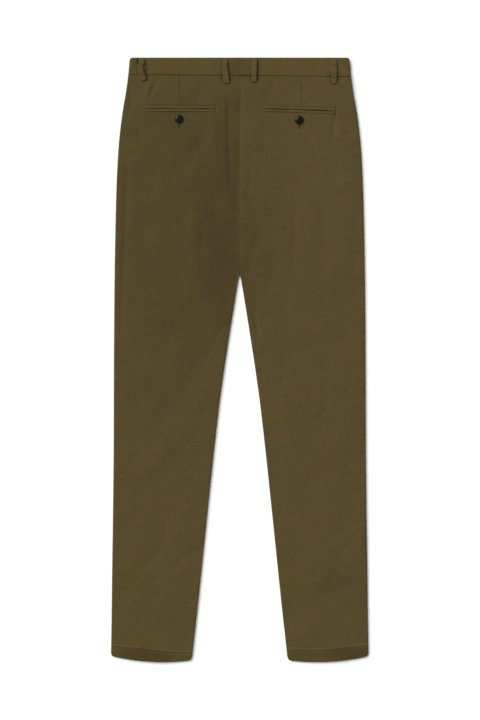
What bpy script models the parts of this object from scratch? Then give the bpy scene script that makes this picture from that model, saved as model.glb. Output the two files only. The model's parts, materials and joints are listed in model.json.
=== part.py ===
"""Suit trousers laid flat on their fronts, with the back upward.

Metres, +Z up. The waistband lies towards +Y and the hems towards -Y, and the origin is on the resting
surface under the middle of the garment. "left" and "right" are the wearer's: left is -X, because the
back is seen. A place on the garment is given by x and by its drop, the distance below the top edge of
the waistband, as a pattern maker would measure it.
"""

import math
from collections import namedtuple

import bmesh
import bpy
from mathutils import Vector
from mathutils.bvhtree import BVHTree

# ---------------------------------------------------------------- driving dimensions
LENGTH = 1.100          # top of the waistband to the lowest point of the hems
BAND_DEPTH = 0.0325     # waistband, at the centre back
BAND_TILT = 0.0085      # fall of the waist seam towards the wearer's right, metres a metre
FORK = 0.396            # drop of the fork, where the legs part
CLOTH = 0.0012          # wall of the panels
BAND_CLOTH = 0.0016     # wall of the interlined waistband
SEAM_GAP = 0.0003       # between pieces that are sewn together or lie on each other
SURFACE_REACH = 0.001   # what lies on a panel clears its highest point this near
LIP = 0.0004            # straight end of a panel's edge where it is turned into a seam
EDGE_INSET = 0.002      # the height of a panel's edge is taken this far inside it
EDGE_BEVEL = 0.3        # the cloth's free edge at the hem is narrowed by this share on each face
COLUMN_CROWDING = 0.4   # how far the columns of a panel crowd towards its edges

LEG_HEIGHT = 0.0049     # upper face of the back panels above the surface, at their edges
SEAM_HEIGHT = 0.0024    # side seams and inseams above the surface
LEG_CROWN = 0.0005      # fullness in the middle of a leg
SEAT_CROWN = 0.0008     # fullness of the seat
BAND_TOP = 0.0064       # upper face of the waistband at its sides
BAND_UNDER = 0.0018     # under face of the waistband at its sides
TAB_UNDER = 0.0025      # under face of the waistband's tab, which leaves room for its button
BAND_STEP = 0.0005      # how far the waistband stands proud of the back panels
UNDER_STEP = 0.0001     # and of the front panels
CENTRE_LIFT = 0.0015    # extra height at the centre, over the lapped front of the waistband

TAB_REACH = 0.042       # the left waistband passes the centre front by this much
UNDERLAP_REACH = 0.012  # and the right one lies above it, past the centre by this much
FLY_REACH = 0.005       # the left front's fly edge passes the centre front
FLY_END = 0.200         # drop of the bottom of the fly

HEM_DEPTH = 0.021
HEM_RIDGE = 0.0005      # the turned-up edge inside the hem shows as a low ridge
HEM_FALL = 0.0008       # below it, the cloth falls towards the hem's fold
HEM_BOW = 0.0225        # the hem hangs lower towards the inseam
HEM_LOWEST = 0.34       # share of the leg's width, from the inseam, where it is lowest
HEM_OUTER_CORNER = 0.0065
HEM_INNER_CORNER = 0.0070
BAND_CORNER = 0.005

MOUTH_LENGTH = 0.130    # back pocket
WELT_DEPTH = 0.0046
WELT_CLOTH = 0.0010
MOUTH_GAP = 0.0006      # between the two welts

BUTTON_RADIUS = 0.0079
BUTTON_THICKNESS = 0.0028
TAB_BUTTON_THICKNESS = 0.0022
TAB_BUTTON_X = 0.028

LOOP_WIDTH = 0.0092
LOOP_CLOTH = 0.0014
LOOP_SLACK = 0.0012
LOOP_START = 0.0012     # drop of a loop's upper end
LOOP_SEWN = 0.08        # share of a loop's length that is sewn down at its lower end
UNDER_LOOP_CLOTH = 0.0015

SIDE_POCKET_WIDTH = 0.010
SIDE_POCKET_CLOTH = 0.0010

TOP_Y = LENGTH / 2

# ---------------------------------------------------------------- tables
Station = namedtuple("Station", "drop reach")
SIDE_LINE = [           # distance of the side seam from the centre line
    Station(0.000, 0.2000), Station(0.033, 0.2026), Station(0.060, 0.2062),
    Station(0.103, 0.2136), Station(0.147, 0.2189), Station(0.190, 0.2220),
    Station(0.234, 0.2240), Station(0.300, 0.2258), Station(0.400, 0.2276),
    Station(0.560, 0.2288), Station(0.715, 0.2293), Station(0.846, 0.2307),
    Station(0.933, 0.2320), Station(1.042, 0.2332), Station(1.100, 0.2342),
]
INSEAM_LINE = [         # distance of the inseam from the centre line, below the fork
    Station(FORK, 0.0003), Station(0.400, 0.0020), Station(0.407, 0.0033),
    Station(0.416, 0.0047), Station(0.431, 0.0072), Station(0.518, 0.0211),
    Station(0.584, 0.0311), Station(0.627, 0.0369), Station(0.715, 0.0470),
    Station(0.802, 0.0562), Station(0.889, 0.0653), Station(0.977, 0.0743),
    Station(1.064, 0.0836), Station(1.100, 0.0875),
]

SIDE_POCKET_TOP = Station(0.0375, 0.158)
SIDE_POCKET_LOW = Station(0.1875, 0.214)

Fold = namedtuple("Fold", "x drop to_x to_drop half_width height")
FOLDS = [               # the broad ridges (+) and troughs (-) of the cloth, in metres
    Fold(-0.047, 0.240, -0.010, 0.400, 0.022, -0.0008),
    Fold(-0.030, 0.110, -0.026, 0.260, 0.012, -0.0004),
    Fold(-0.150, 0.150, -0.070, 0.210, 0.030, -0.0004),
    Fold(+0.012, 0.400, +0.044, 0.300, 0.010, -0.0006),
    Fold(+0.026, 0.420, +0.070, 0.300, 0.014, +0.0004),
    Fold(+0.170, 0.190, +0.205, 0.230, 0.018, +0.0004),
    Fold(-0.018, 0.487, -0.127, 0.669, 0.024, -0.0006),
    Fold(-0.051, 0.587, -0.205, 0.760, 0.026, +0.0006),
    Fold(-0.205, 0.785, -0.120, 0.795, 0.016, -0.0005),
    Fold(-0.146, 0.850, -0.176, 0.930, 0.014, -0.0005),
    Fold(+0.078, 0.610, +0.131, 0.715, 0.024, +0.0006),
    Fold(+0.150, 0.500, +0.215, 0.580, 0.022, -0.0004),
    Fold(+0.090, 0.820, +0.170, 0.870, 0.020, -0.0004),
    Fold(+0.140, 0.955, +0.222, 0.973, 0.018, -0.0007),
]

Loop = namedtuple("Loop", "name x x_end end_drop")
BACK_LOOPS = [
    Loop("belt_loop_side_left", -0.1790, -0.1740, 0.0415),
    Loop("belt_loop_back_left", -0.0262, -0.0230, 0.0465),
    Loop("belt_loop_back_right", +0.0262, +0.0256, 0.0440),
    Loop("belt_loop_side_right", +0.1700, +0.1714, 0.0475),
]
FRONT_LOOPS = [
    Loop("belt_loop_front_left", -0.1050, -0.1050, 0.0460),
    Loop("belt_loop_front_right", +0.1050, +0.1050, 0.0460),
]

Pocket = namedtuple("Pocket", "side middle_x middle_drop slope button_x button_drop")
BACK_POCKETS = [        # the slope is the fall of the mouth towards +X, metres a metre
    Pocket("left", -0.1105, 0.0930, 0.006, -0.1103, 0.1117),
    Pocket("right", +0.1083, 0.0950, 0.034, +0.1083, 0.1136),
]

Colour = namedtuple("Colour", "red green blue roughness")
CLOTH_COLOUR = Colour(0.091, 0.069, 0.026, 0.85)
HORN_COLOUR = Colour(0.012, 0.008, 0.006, 0.30)

# Nominal drops of the rows of the panels; each row follows the waist seam and the hem near them.
WAIST_ROWS = (0.0327, 0.050, 0.068, 0.086, 0.100)
SEAT_ROWS = tuple(0.118 + 0.020 * i for i in range(12)) + (0.350, 0.363, 0.376, 0.388, 0.396, 0.400)
LEG_ROWS = tuple(0.408 + 0.036 * i for i in range(18))
HEM_ROWS = (1.048, 1.066, 1.0765, 1.083, 1.0915, 1.0955, 1.0985, 1.100)
BACK_ROWS = WAIST_ROWS + SEAT_ROWS + LEG_ROWS + HEM_ROWS
FRONT_WAIST_ROWS = (0.0327, 0.050, 0.070, 0.090, 0.115, 0.140, 0.165, 0.185, 0.205, 0.228)
FRONT_SEAT_ROWS = (0.260, 0.300, 0.340, 0.363, 0.384, 0.396, 0.400)
FRONT_LEG_ROWS = (0.412,) + tuple(0.440 + 0.061 * i for i in range(10))
FRONT_ROWS = FRONT_WAIST_ROWS + FRONT_SEAT_ROWS + FRONT_LEG_ROWS + HEM_ROWS


# ---------------------------------------------------------------- helpers
def smooth(low, high, value):
    """0 below low, 1 above high, and a smooth step between them."""
    t = min(1.0, max(0.0, (value - low) / (high - low)))
    return t * t * (3 - 2 * t)


def along(line, drop):
    """The reach at a drop, on a smooth curve through the stations of a line."""
    drop = min(max(drop, line[0].drop), line[-1].drop)
    i = max(k for k in range(len(line) - 1) if line[k].drop <= drop or k == 0)
    before, after = line[max(i - 1, 0)], line[min(i + 2, len(line) - 1)]
    start, end = line[i], line[i + 1]
    span = end.drop - start.drop
    leave = (end.reach - before.reach) / (end.drop - before.drop) * span
    arrive = (after.reach - start.reach) / (after.drop - start.drop) * span
    t = (drop - start.drop) / span
    bend = t * (1 - t) * ((1 - t) * (leave - (end.reach - start.reach))
                          - t * (arrive - (end.reach - start.reach)))
    return start.reach + t * (end.reach - start.reach) + bend


def corner(radius, distance):
    """How far a rounded corner draws in its side, at a distance from the end of that side."""
    if distance >= radius:
        return 0.0
    return radius - math.sqrt(radius ** 2 - (radius - distance) ** 2)


def place(x, drop, z):
    return Vector((x, TOP_Y - drop, z))


# ---------------------------------------------------------------- outline
def side_reach(drop):
    return (along(SIDE_LINE, drop)
            - corner(HEM_OUTER_CORNER, LENGTH - drop)
            - corner(BAND_CORNER, drop))


def inseam_reach(drop):
    """Half the gap between the legs; above the fork, half the gap of the centre seam."""
    if drop <= FORK:
        return SEAM_GAP / 2
    return along(INSEAM_LINE, drop) + corner(HEM_INNER_CORNER, LENGTH - drop)


def row_drop(nominal, x, share):
    """The drop of a row's point: level in between, along the waist seam above and the hem below."""
    near_waist = 1 - smooth(0.033, 0.110, nominal)
    near_hem = smooth(1.000, 1.066, nominal)
    bow = HEM_BOW * (share - HEM_LOWEST) ** 2
    return nominal + near_waist * BAND_TILT * x - near_hem * bow


# ---------------------------------------------------------------- faces of the cloth
def waist_rise(drop):
    """1 at the waist, where the layers are thick, and 0 from the pockets down."""
    return 1 - smooth(0.050, 0.115, drop)


def centre_lift(x):
    return CENTRE_LIFT * (1 - smooth(0.045, 0.080, abs(x)))


def band_top(x):
    return BAND_TOP + centre_lift(x)


def tab_share(x):
    """1 on the tab of the left waistband, where its button is."""
    return smooth(-0.045, -0.005, x)


def left_band_under(x):
    return BAND_UNDER + (TAB_UNDER - BAND_UNDER) * tab_share(x)


def right_band_under(x):
    over_tab = TAB_UNDER + BAND_CLOTH + SEAM_GAP
    return BAND_UNDER + (over_tab - BAND_UNDER) * (1 - smooth(0.046, 0.085, x))


def fold_height(x, drop):
    """The sum of the broad ridges and troughs at a place."""
    total = 0.0
    for fold in FOLDS:
        run = Vector((fold.to_x - fold.x, fold.to_drop - fold.drop))
        here = Vector((x - fold.x, drop - fold.drop))
        share = min(1.0, max(0.0, here.dot(run) / run.length_squared))
        away = (here - share * run).length / fold.half_width
        total += fold.height * math.exp(-away * away)
    return total


def centre_valley(x, drop):
    """The dip along the centre back seam, wider on the wearer's left."""
    width = 0.014 if x < 0 else 0.009
    depth = 0.0011 * smooth(0.045, 0.110, drop) * (1 - smooth(FORK, FORK + 0.03, drop))
    return depth * math.exp(-(x / width) ** 2)


def hem_form(drop, share):
    """The low ridge at the top of the hem, and the fall of the cloth below it."""
    ridge = LENGTH - HEM_DEPTH - 0.013 * share ** 1.5
    rise = HEM_RIDGE * math.exp(-((drop - ridge) / 0.006) ** 2)
    return rise - HEM_FALL * smooth(ridge, ridge + HEM_DEPTH, drop)


def back_face(x, drop):
    """Height of the upper face of a back panel."""
    inner, outer = inseam_reach(drop), side_reach(min(drop, LENGTH - HEM_OUTER_CORNER))
    share = min(1.0, max(0.0, (abs(x) - inner) / (outer - inner)))
    leg = smooth(FORK - 0.06, FORK + 0.10, drop)
    seat = 1 - smooth(0.85, 1.0, share)
    crown = leg * LEG_CROWN * math.sin(math.pi * share) + (1 - leg) * SEAT_CROWN * seat
    rise = waist_rise(drop)
    waist = BAND_TOP - BAND_STEP - LEG_HEIGHT + centre_lift(x)
    soft = fold_height(x, drop) + crown
    return (LEG_HEIGHT + rise * waist + (1 - rise) * soft
            - centre_valley(x, drop) + hem_form(drop, share))


def fly_lift(x, drop):
    """The right front lies over the left one's fly edge."""
    over_fly = 1 - smooth(FLY_END + 0.007, FLY_END + 0.027, drop)
    return (CLOTH + SEAM_GAP) * over_fly * (1 - smooth(0.009, 0.030, x))


def side_pocket_line(share):
    """A point of the slanted front pocket's edge, as (distance from the centre, drop)."""
    top, low = SIDE_POCKET_TOP, SIDE_POCKET_LOW
    return top.reach + (low.reach - top.reach) * share, top.drop + (low.drop - top.drop) * share


def side_pocket_lift(x, drop):
    """The front is held off the surface along the pocket's stitched edge."""
    start, end = Vector(side_pocket_line(0)), Vector(side_pocket_line(1))
    here = Vector((abs(x), drop))
    run = end - start
    share = min(1.0, max(0.0, (here - start).dot(run) / run.length_squared))
    away = (here - start - share * run).length
    return (SIDE_POCKET_CLOTH + SEAM_GAP) * (1 - smooth(0.008, 0.030, away))


def front_face(x, drop, side):
    """Height of the under face of a front panel."""
    band = left_band_under(x) if side < 0 else right_band_under(x)
    rise = waist_rise(drop)
    low = max(side_pocket_lift(x, drop), fly_lift(x, drop) if side > 0 else 0.0)
    return rise * (band + UNDER_STEP) + (1 - rise) * low


def seam_height(drop):
    """Height of the side seams, which rises with the layers at the waist."""
    middle = (BAND_TOP - BAND_STEP + BAND_UNDER + UNDER_STEP) / 2
    return SEAM_HEIGHT + (middle - SEAM_HEIGHT) * waist_rise(drop)


# ---------------------------------------------------------------- building
def material(name, colour):
    made = bpy.data.materials.new(name)
    made.use_nodes = True
    shader = made.node_tree.nodes["Principled BSDF"]
    shader.inputs["Base Color"].default_value = (colour.red, colour.green, colour.blue, 1)
    shader.inputs["Roughness"].default_value = colour.roughness
    return made


def finish(name, mesh, finish_material):
    """Puts a bmesh in the scene as one object, shaded smooth, with its faces pointing out."""
    bmesh.ops.recalc_face_normals(mesh, faces=mesh.faces)
    data = bpy.data.meshes.new(name)
    mesh.to_mesh(data)
    mesh.free()
    data.shade_smooth()
    data.set_sharp_from_angle(angle=math.radians(50))
    data.materials.append(finish_material)
    piece = bpy.data.objects.new(name, data)
    bpy.context.scene.collection.objects.link(piece)
    return piece


def wall(name, outside, inside, finish_material):
    """A closed wall: a sheet through the outside points, extruded to the inside points.

    Both are rows of points of the same shape."""
    mesh = bmesh.new()
    slot = mesh.verts.layers.int.new("slot")
    grid = []
    for row in outside:
        grid.append([mesh.verts.new(point) for point in row])
    width = len(outside[0])
    for r, row in enumerate(grid):
        for c, vert in enumerate(row):
            vert[slot] = r * width + c
    for above, below in zip(grid, grid[1:]):
        for c in range(width - 1):
            mesh.faces.new((above[c], above[c + 1], below[c + 1], below[c]))
    sheet = bmesh.ops.extrude_face_region(mesh, geom=mesh.faces[:], use_keep_orig=True)
    for vert in sheet["geom"]:
        if isinstance(vert, bmesh.types.BMVert):
            vert.co = inside[vert[slot] // width][vert[slot] % width]
    return finish(name, mesh, finish_material)


def bend(turn, length, distance):
    """Along a strip bent evenly by turn over its length: (run, fall, angle) at a distance."""
    if turn < 1e-4:
        return distance, 0.0, 0.0
    radius = length / turn
    angle = turn * distance / length
    return radius * math.sin(angle), radius * (1 - math.cos(angle)), angle


def panel_row(side, nominal, face, facing, inner, outer, columns, depth):
    """One row of a panel, from its inner edge to its side seam, at a depth in the cloth.

    inner and outer are (reach, turn): where the edge lies and how far it is turned into its seam."""
    seam_z = seam_height(nominal)
    points = []
    ends = []
    for reach, turn, outward in ((*inner, -1), (*outer, 1)):
        near = side * (reach - outward * EDGE_INSET)
        height = face(near, row_drop(nominal, near, (1 + outward) / 2))
        radius = facing * (height - seam_z) - SEAM_GAP / 2 - LIP
        length = radius * math.pi / 2
        run, _, _ = bend(turn, length, length)
        ends.append((reach - outward * (run + LIP * math.cos(turn)), turn, outward, height, length))
    (start, *_), (stop, *_) = ends

    def point(reach, fall, angle, outward, edge_height, turn):
        share = min(1.0, max(0.0, (reach - inner[0]) / (outer[0] - inner[0])))
        drop = row_drop(nominal, side * reach, share)
        held = turn / (math.pi / 2)
        height = (1 - held) * face(side * reach, drop) + held * edge_height
        out = reach - outward * depth * math.sin(angle)
        return place(side * out, drop, height - facing * (fall + depth * math.cos(angle)))

    def edge(end, steps):
        base, turn, outward, height, length = end
        found = []
        for k in range(1, steps + 1):
            run, fall, angle = bend(turn, length, length * k / steps)
            found.append(point(base + outward * run, fall, angle, outward, height, turn))
        reach = base + outward * (run + LIP * math.cos(turn))
        fall = fall + LIP * math.sin(turn)
        found.append(point(reach, fall, turn, outward, height, turn))
        return found

    flat, bends = columns
    points = edge(ends[0], bends)[::-1]
    for k in range(flat + 1):
        share = k / flat
        share -= COLUMN_CROWDING * math.sin(2 * math.pi * share) / (2 * math.pi)
        reach = start + (stop - start) * share
        weight = max(0.0, 1 - min(k, flat - k))
        end = ends[0] if k <= flat / 2 else ends[1]
        points.append(point(reach, 0.0, 0.0, 0, end[3], end[1] * weight))
    points += edge(ends[1], bends)
    return points


def fork_turn(drop):
    """How far the centre edges are turned down: flat above, and a full quarter turn at the fork."""
    return math.pi / 2 * smooth(FORK - 0.050, FORK - 0.002, drop)


def panel(name, side, rows, face, facing, columns, inner_reach, cloth):
    outside, inside = [], []
    for nominal in rows:
        inner = (inner_reach(nominal), fork_turn(nominal))
        outer = (side_reach(nominal), math.pi / 2)
        hem = EDGE_BEVEL * CLOTH if nominal == rows[-1] else 0.0
        outside.append(panel_row(side, nominal, face, facing, inner, outer, columns, hem))
        inside.append(panel_row(side, nominal, face, facing, inner, outer, columns, CLOTH - hem))
    return wall(name, outside, inside, cloth)


def fly_edge(drop):
    """Inner edge of the left front: past the centre along the fly, and on the seam below it."""
    past = FLY_REACH * (1 - smooth(FLY_END - 0.020, FLY_END, drop))
    return inseam_reach(drop) - past


def build_panels(cloth):
    for name, side in (("left", -1), ("right", 1)):
        panel(f"back_{name}", side, BACK_ROWS, back_face, 1, (9, 3), inseam_reach, cloth)

        def under(x, drop, side=side):
            return front_face(x, drop, side)

        inner = fly_edge if side < 0 else inseam_reach
        panel(f"front_{name}", side, FRONT_ROWS, under, -1, (8, 2), inner, cloth)


def band_row(side, drop, reach_past, depth):
    """One row round half of the waistband, from the centre back over the side to the front's end."""
    under = left_band_under if side < 0 else right_band_under
    radius = (band_top(side * 0.19) - under(side * 0.19)) / 2
    middle = (band_top(side * 0.19) + under(side * 0.19)) / 2
    turn_at = side_reach(drop) - radius
    points = []
    for share in (0, 0.03, 0.07, 0.12, 0.17, 0.215, 0.26, 0.31, 0.37, 0.44, 0.55, 0.70, 0.85, 1):
        reach = SEAM_GAP / 2 + (turn_at - SEAM_GAP / 2) * share
        points.append((side * reach, band_top(side * reach) - depth))
    for k in range(1, 6):
        angle = math.pi * k / 6
        points.append((side * (turn_at + (radius - depth) * math.sin(angle)),
                       middle + (radius - depth) * math.cos(angle)))
    for share in (0, 0.2, 0.4, 0.5, 0.57, 0.62, 0.66, 0.71, 0.76, 0.82, 0.88, 0.94, 1):
        reach = turn_at + (-reach_past - turn_at) * share
        points.append((side * reach, under(side * reach) + depth))
    tilt = smooth(0.010, BAND_DEPTH, drop)
    return [place(x, drop + tilt * BAND_TILT * x, z) for x, z in points]


def build_waistband(cloth):
    last = BAND_DEPTH - SEAM_GAP / 2
    rows = ((0.0, 0.35), (0.0005, 0.1), (0.0015, 0), (0.004, 0), (0.012, 0), (0.022, 0),
            (last - 0.0008, 0), (last, 0.2))
    for name, side, past in (("left", -1, TAB_REACH), ("right", 1, UNDERLAP_REACH)):
        outside = [band_row(side, drop, past, bevel * BAND_CLOTH) for drop, bevel in rows]
        inside = [band_row(side, drop, past, (1 - bevel) * BAND_CLOTH) for drop, bevel in rows]
        wall(f"waistband_{name}", outside, inside, cloth)


# ---------------------------------------------------------------- pieces that lie on the panels
def surface_trees(names):
    """The faces of some pieces, for finding how high they are."""
    graph = bpy.context.evaluated_depsgraph_get()
    return [BVHTree.FromObject(bpy.data.objects[name], graph) for name in names]


def top_of(trees, x, drop):
    """The highest point of some pieces at a place, or None where there is none."""
    found = []
    for tree in trees:
        hit = tree.ray_cast(place(x, drop, 0.1), Vector((0, 0, -1)))
        if hit[0] is not None:
            found.append(hit[0].z)
    return max(found, default=None)


def highest(trees, x, drop, reach):
    """The highest point of some pieces within a reach of a place."""
    found = []
    for dx in (-reach, 0.0, reach):
        for dy in (-reach, 0.0, reach):
            found.append(top_of(trees, x + dx, drop + dy))
    return max(z for z in found if z is not None)


def strip(name, centre, width, thickness, base, steps, facing, cloth):
    """A soft-edged strip of cloth along a centre line.

    centre(share) gives (x, drop, across), where across is the direction of its width, and
    base(x, drop, share) gives the height of the face that it lies on."""
    edges = ((-0.5, 0.45), (-0.40, 1.0), (0.0, 1.0), (0.40, 1.0), (0.5, 0.45))
    outside, inside = [], []
    for k in range(steps + 1):
        share = k / steps
        x, drop, across = centre(share)
        end = 0.5 if k in (0, steps) else 1.0
        outer_row, inner_row = [], []
        for offset, full in edges:
            px, pd = x + across[0] * offset * width, drop + across[1] * offset * width
            low = base(px, pd, share)
            outer_row.append(place(px, pd, low + facing * thickness * full * end))
            inner_row.append(place(px, pd, low))
        outside.append(outer_row)
        inside.append(inner_row)
    return wall(name, outside, inside, cloth)


def pocket_point(pocket, along_mouth, below):
    """A place given by its distance along a back pocket's mouth and below its middle line."""
    x = pocket.middle_x + along_mouth - below * pocket.slope
    return x, pocket.middle_drop + below + along_mouth * pocket.slope


def build_back_pockets(cloth):
    for pocket in BACK_POCKETS:
        trees = surface_trees([f"back_{pocket.side}"])
        for name, below in (("upper", -1), ("lower", 1)):
            middle = below * (MOUTH_GAP + WELT_DEPTH) / 2

            def centre(share, pocket=pocket, middle=middle):
                x, drop = pocket_point(pocket, (share - 0.5) * MOUTH_LENGTH, middle)
                return x, drop, (-pocket.slope, 1.0)

            def base(x, drop, share, trees=trees):
                return highest(trees, x, drop, SURFACE_REACH) + SEAM_GAP

            strip(f"pocket_welt_{name}_{pocket.side}", centre, WELT_DEPTH, WELT_CLOTH,
                  base, 13, 1, cloth)


def loop_line(loop):
    """The centre line of a belt loop, as strip() asks for it."""
    def centre(share):
        x = loop.x + (loop.x_end - loop.x) * smooth(0.0, 1.0, share)
        return x, LOOP_START + (loop.end_drop - LOOP_START) * share, (1.0, 0.0)

    return centre


def build_back_loops(cloth):
    trees = surface_trees(["waistband_left", "waistband_right", "back_left", "back_right"])

    def base(x, drop, share):
        slack = LOOP_SLACK * math.sin(math.pi * min(1.0, share / (1 - LOOP_SEWN)))
        return highest(trees, x, drop, SURFACE_REACH) + SEAM_GAP + slack

    for loop in BACK_LOOPS:
        strip(loop.name, loop_line(loop), LOOP_WIDTH, LOOP_CLOTH, base, 10, 1, cloth)


def build_front_loops(cloth):
    def base(x, drop, share):
        return UNDER_LOOP_CLOTH

    for loop in FRONT_LOOPS:
        strip(loop.name, loop_line(loop), LOOP_WIDTH, UNDER_LOOP_CLOTH, base, 6, -1, cloth)


def build_side_pockets(cloth):
    """The stitched edges of the slanted front pockets, on the under side."""
    for name, side in (("left", -1), ("right", 1)):
        start, end = Vector(side_pocket_line(0)), Vector(side_pocket_line(1))
        run = (end - start).normalized()

        def centre(share, side=side):
            reach, drop = side_pocket_line(share)
            return side * reach, drop, (side * run[1], -run[0])

        def base(x, drop, share, side=side):
            return front_face(x, drop, side) - SEAM_GAP

        strip(f"side_pocket_edge_{name}", centre, SIDE_POCKET_WIDTH, SIDE_POCKET_CLOTH,
              base, 12, -1, cloth)


# ---------------------------------------------------------------- buttons
ButtonRing = namedtuple("ButtonRing", "radius height")
BUTTON_PROFILE = [      # shares of the radius and of the thickness, from the back round to the face
    ButtonRing(0.0, 0.0), ButtonRing(0.78, 0.0), ButtonRing(0.95, 0.25), ButtonRing(1.0, 0.55),
    ButtonRing(0.95, 0.85), ButtonRing(0.86, 1.0), ButtonRing(0.74, 0.95), ButtonRing(0.60, 0.72),
    ButtonRing(0.0, 0.66),
]


def button(name, x, drop, back_z, thickness, facing, horn):
    """A dished button, turned from its profile; facing is +1 where its face is upward."""
    mesh = bmesh.new()
    ring = []
    for share in BUTTON_PROFILE:
        ring.append(mesh.verts.new((share.radius * BUTTON_RADIUS, 0.0,
                                    facing * share.height * thickness)))
    for first, second in zip(ring, ring[1:]):
        mesh.edges.new((first, second))
    bmesh.ops.spin(mesh, geom=mesh.verts[:] + mesh.edges[:], cent=(0, 0, 0), axis=(0, 0, 1),
                   angle=2 * math.pi, steps=24, use_merge=True)
    bmesh.ops.remove_doubles(mesh, verts=mesh.verts, dist=0.00001)
    piece = finish(name, mesh, horn)
    piece.location = place(x, drop, back_z)
    return piece


def build_buttons(horn):
    for pocket in BACK_POCKETS:
        trees = surface_trees([f"back_{pocket.side}"])
        reach = BUTTON_RADIUS * math.sqrt(0.5)
        seat = highest(trees, pocket.button_x, pocket.button_drop, reach) + SEAM_GAP
        button(f"pocket_button_{pocket.side}", pocket.button_x, pocket.button_drop, seat,
               BUTTON_THICKNESS, 1, horn)
    button("waist_button", TAB_BUTTON_X, BAND_DEPTH / 2, TAB_BUTTON_THICKNESS,
           TAB_BUTTON_THICKNESS, -1, horn)


def main():
    for old in list(bpy.data.objects):
        bpy.data.objects.remove(old)
    cloth = material("olive_cloth", CLOTH_COLOUR)
    horn = material("dark_horn", HORN_COLOUR)
    build_panels(cloth)
    build_waistband(cloth)
    bpy.context.view_layer.update()
    build_back_pockets(cloth)
    build_back_loops(cloth)
    build_front_loops(cloth)
    build_side_pockets(cloth)
    build_buttons(horn)


main()
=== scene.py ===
"""Suit trousers laid flat on their fronts, with the back upward: the finish of every surface.

Metres, +Z up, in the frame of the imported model. The waistband lies towards +Y. "left" and "right"
are the wearer's, and left is -X. A place is given by x and by its drop below the top edge of the
waistband.
"""

import json
import math
from collections import namedtuple

import bmesh
import bpy
import numpy as np
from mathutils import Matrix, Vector
from mathutils.bvhtree import BVHTree

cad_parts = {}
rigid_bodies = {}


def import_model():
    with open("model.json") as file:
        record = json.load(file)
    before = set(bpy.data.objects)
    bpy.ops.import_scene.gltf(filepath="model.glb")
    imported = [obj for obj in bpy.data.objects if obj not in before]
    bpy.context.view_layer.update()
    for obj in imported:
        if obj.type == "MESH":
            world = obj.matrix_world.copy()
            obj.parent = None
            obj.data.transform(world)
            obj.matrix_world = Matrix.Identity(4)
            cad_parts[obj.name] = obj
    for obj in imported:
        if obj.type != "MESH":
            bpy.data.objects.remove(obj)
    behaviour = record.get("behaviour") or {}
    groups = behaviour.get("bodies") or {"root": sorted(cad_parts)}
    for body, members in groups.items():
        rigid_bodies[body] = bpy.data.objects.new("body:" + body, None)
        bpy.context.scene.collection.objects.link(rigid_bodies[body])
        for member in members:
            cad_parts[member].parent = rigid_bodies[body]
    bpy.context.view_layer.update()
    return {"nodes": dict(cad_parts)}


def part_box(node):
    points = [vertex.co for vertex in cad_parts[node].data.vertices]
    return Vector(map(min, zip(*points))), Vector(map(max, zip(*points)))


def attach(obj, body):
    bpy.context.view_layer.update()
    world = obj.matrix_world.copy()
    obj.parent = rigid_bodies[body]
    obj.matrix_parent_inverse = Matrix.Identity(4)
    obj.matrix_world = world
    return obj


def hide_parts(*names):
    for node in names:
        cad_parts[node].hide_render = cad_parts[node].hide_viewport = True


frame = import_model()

bl_info = {
    "name": "Suit trousers, laid flat",
    "version": (1, 0, 0),
    "blender": (4, 5, 0),
    "location": "3D View > Sidebar > Trousers",
    "description": "Dresses the packed trousers with cloth, creases, buttons and stitching",
    "category": "Object",
}

MM = 0.001
# Painted light and shade: this attribute holds the painted highlight along each hem's ridge, the
# painted shade beside it and the painted shade at the waist seam.
PAINTED_TONE_ATTRIBUTE = "painted_light_shade"         # attribute of a panel: how much lighter (+) or darker (-) a line is
BODY = "root"
TOP_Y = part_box("waistband_left")[1].y
UP, DOWN = 1, -1
# A ray that falls on an edge of the mesh is sent again from beside it.
NUDGES = [(0, 0), (3e-6, 1e-6), (-1e-6, 3e-6), (-3e-6, -1e-6), (1e-6, -3e-6)]

# ---------------------------------------------------------------- sizes of the cloth
CLOTH_WALL = 0.9 * MM
BAND_WALL = 1.5 * MM
BACK_SPACING = 3.0 * MM     # between the columns and rows of a back panel
FRONT_SPACING = 4.6 * MM
ARC_STEPS = 5               # columns round a rolled edge
SEAM_ROLL = 0.45 * MM       # how far a plain seam's edge dips
SEAM_ROLL_WIDTH = 1.3 * MM
HEM_ROLL = 0.9 * MM
WAIST_ROLL = 1.5 * MM       # how far from the waist seam the cloth dips into it
EDGE_INSET = 4.0 * MM       # the height beside an edge is taken this far inside it
END_INSET = 0.6 * MM        # and this far inside the ends of a panel and the band
HEIGHT_SOFTENING = 10 * MM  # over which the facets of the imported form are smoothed
DEEPEST = 2.2 * MM          # the back's upper face stays above this, clear of the front
PUCKER_HEIGHT = 0.035 * MM
PUCKER_REACH = 11 * MM      # how far the puckers of a seam run into the cloth
BAND_DEPTH = 33 * MM
BAND_COLUMNS = 84           # of the waistband's seen half
BAND_ROLL = 1.3 * MM        # how far from the waist seam the band dips into it
FORK_DROP = 0.396           # where the legs part
SEAM_CLOSING = 0.12 * MM    # each side of the centre back seam lies this much nearer to the other
WAIST_DIP = 2.0 * MM        # the cloth's edge goes this deep into the waist seam
WAIST_TUCK = 0.9 * MM       # and this far under the waistband
WAIST_DROP = 32.5 * MM      # of the waist seam at the centre back
WAIST_FALL = 0.0085         # metres it falls a metre towards the wearer's right
BACK_SEED, FRONT_SEED = 11, 31      # of the ripples and puckers
GRAIN_TURN = math.radians(3.2)      # of a leg's warp, outward

# ---------------------------------------------------------------- tables
def table(kind, *rows, plain=0):
    """Rows of a table given in millimetres, of which the last columns may be plain numbers."""
    sized = len(kind._fields) - plain
    return [kind(*(value * MM for value in row[:sized]), *row[sized:]) for row in rows]


Crease = namedtuple("Crease", "x drop mid_x mid_drop to_x to_drop half_width height lean")
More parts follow.
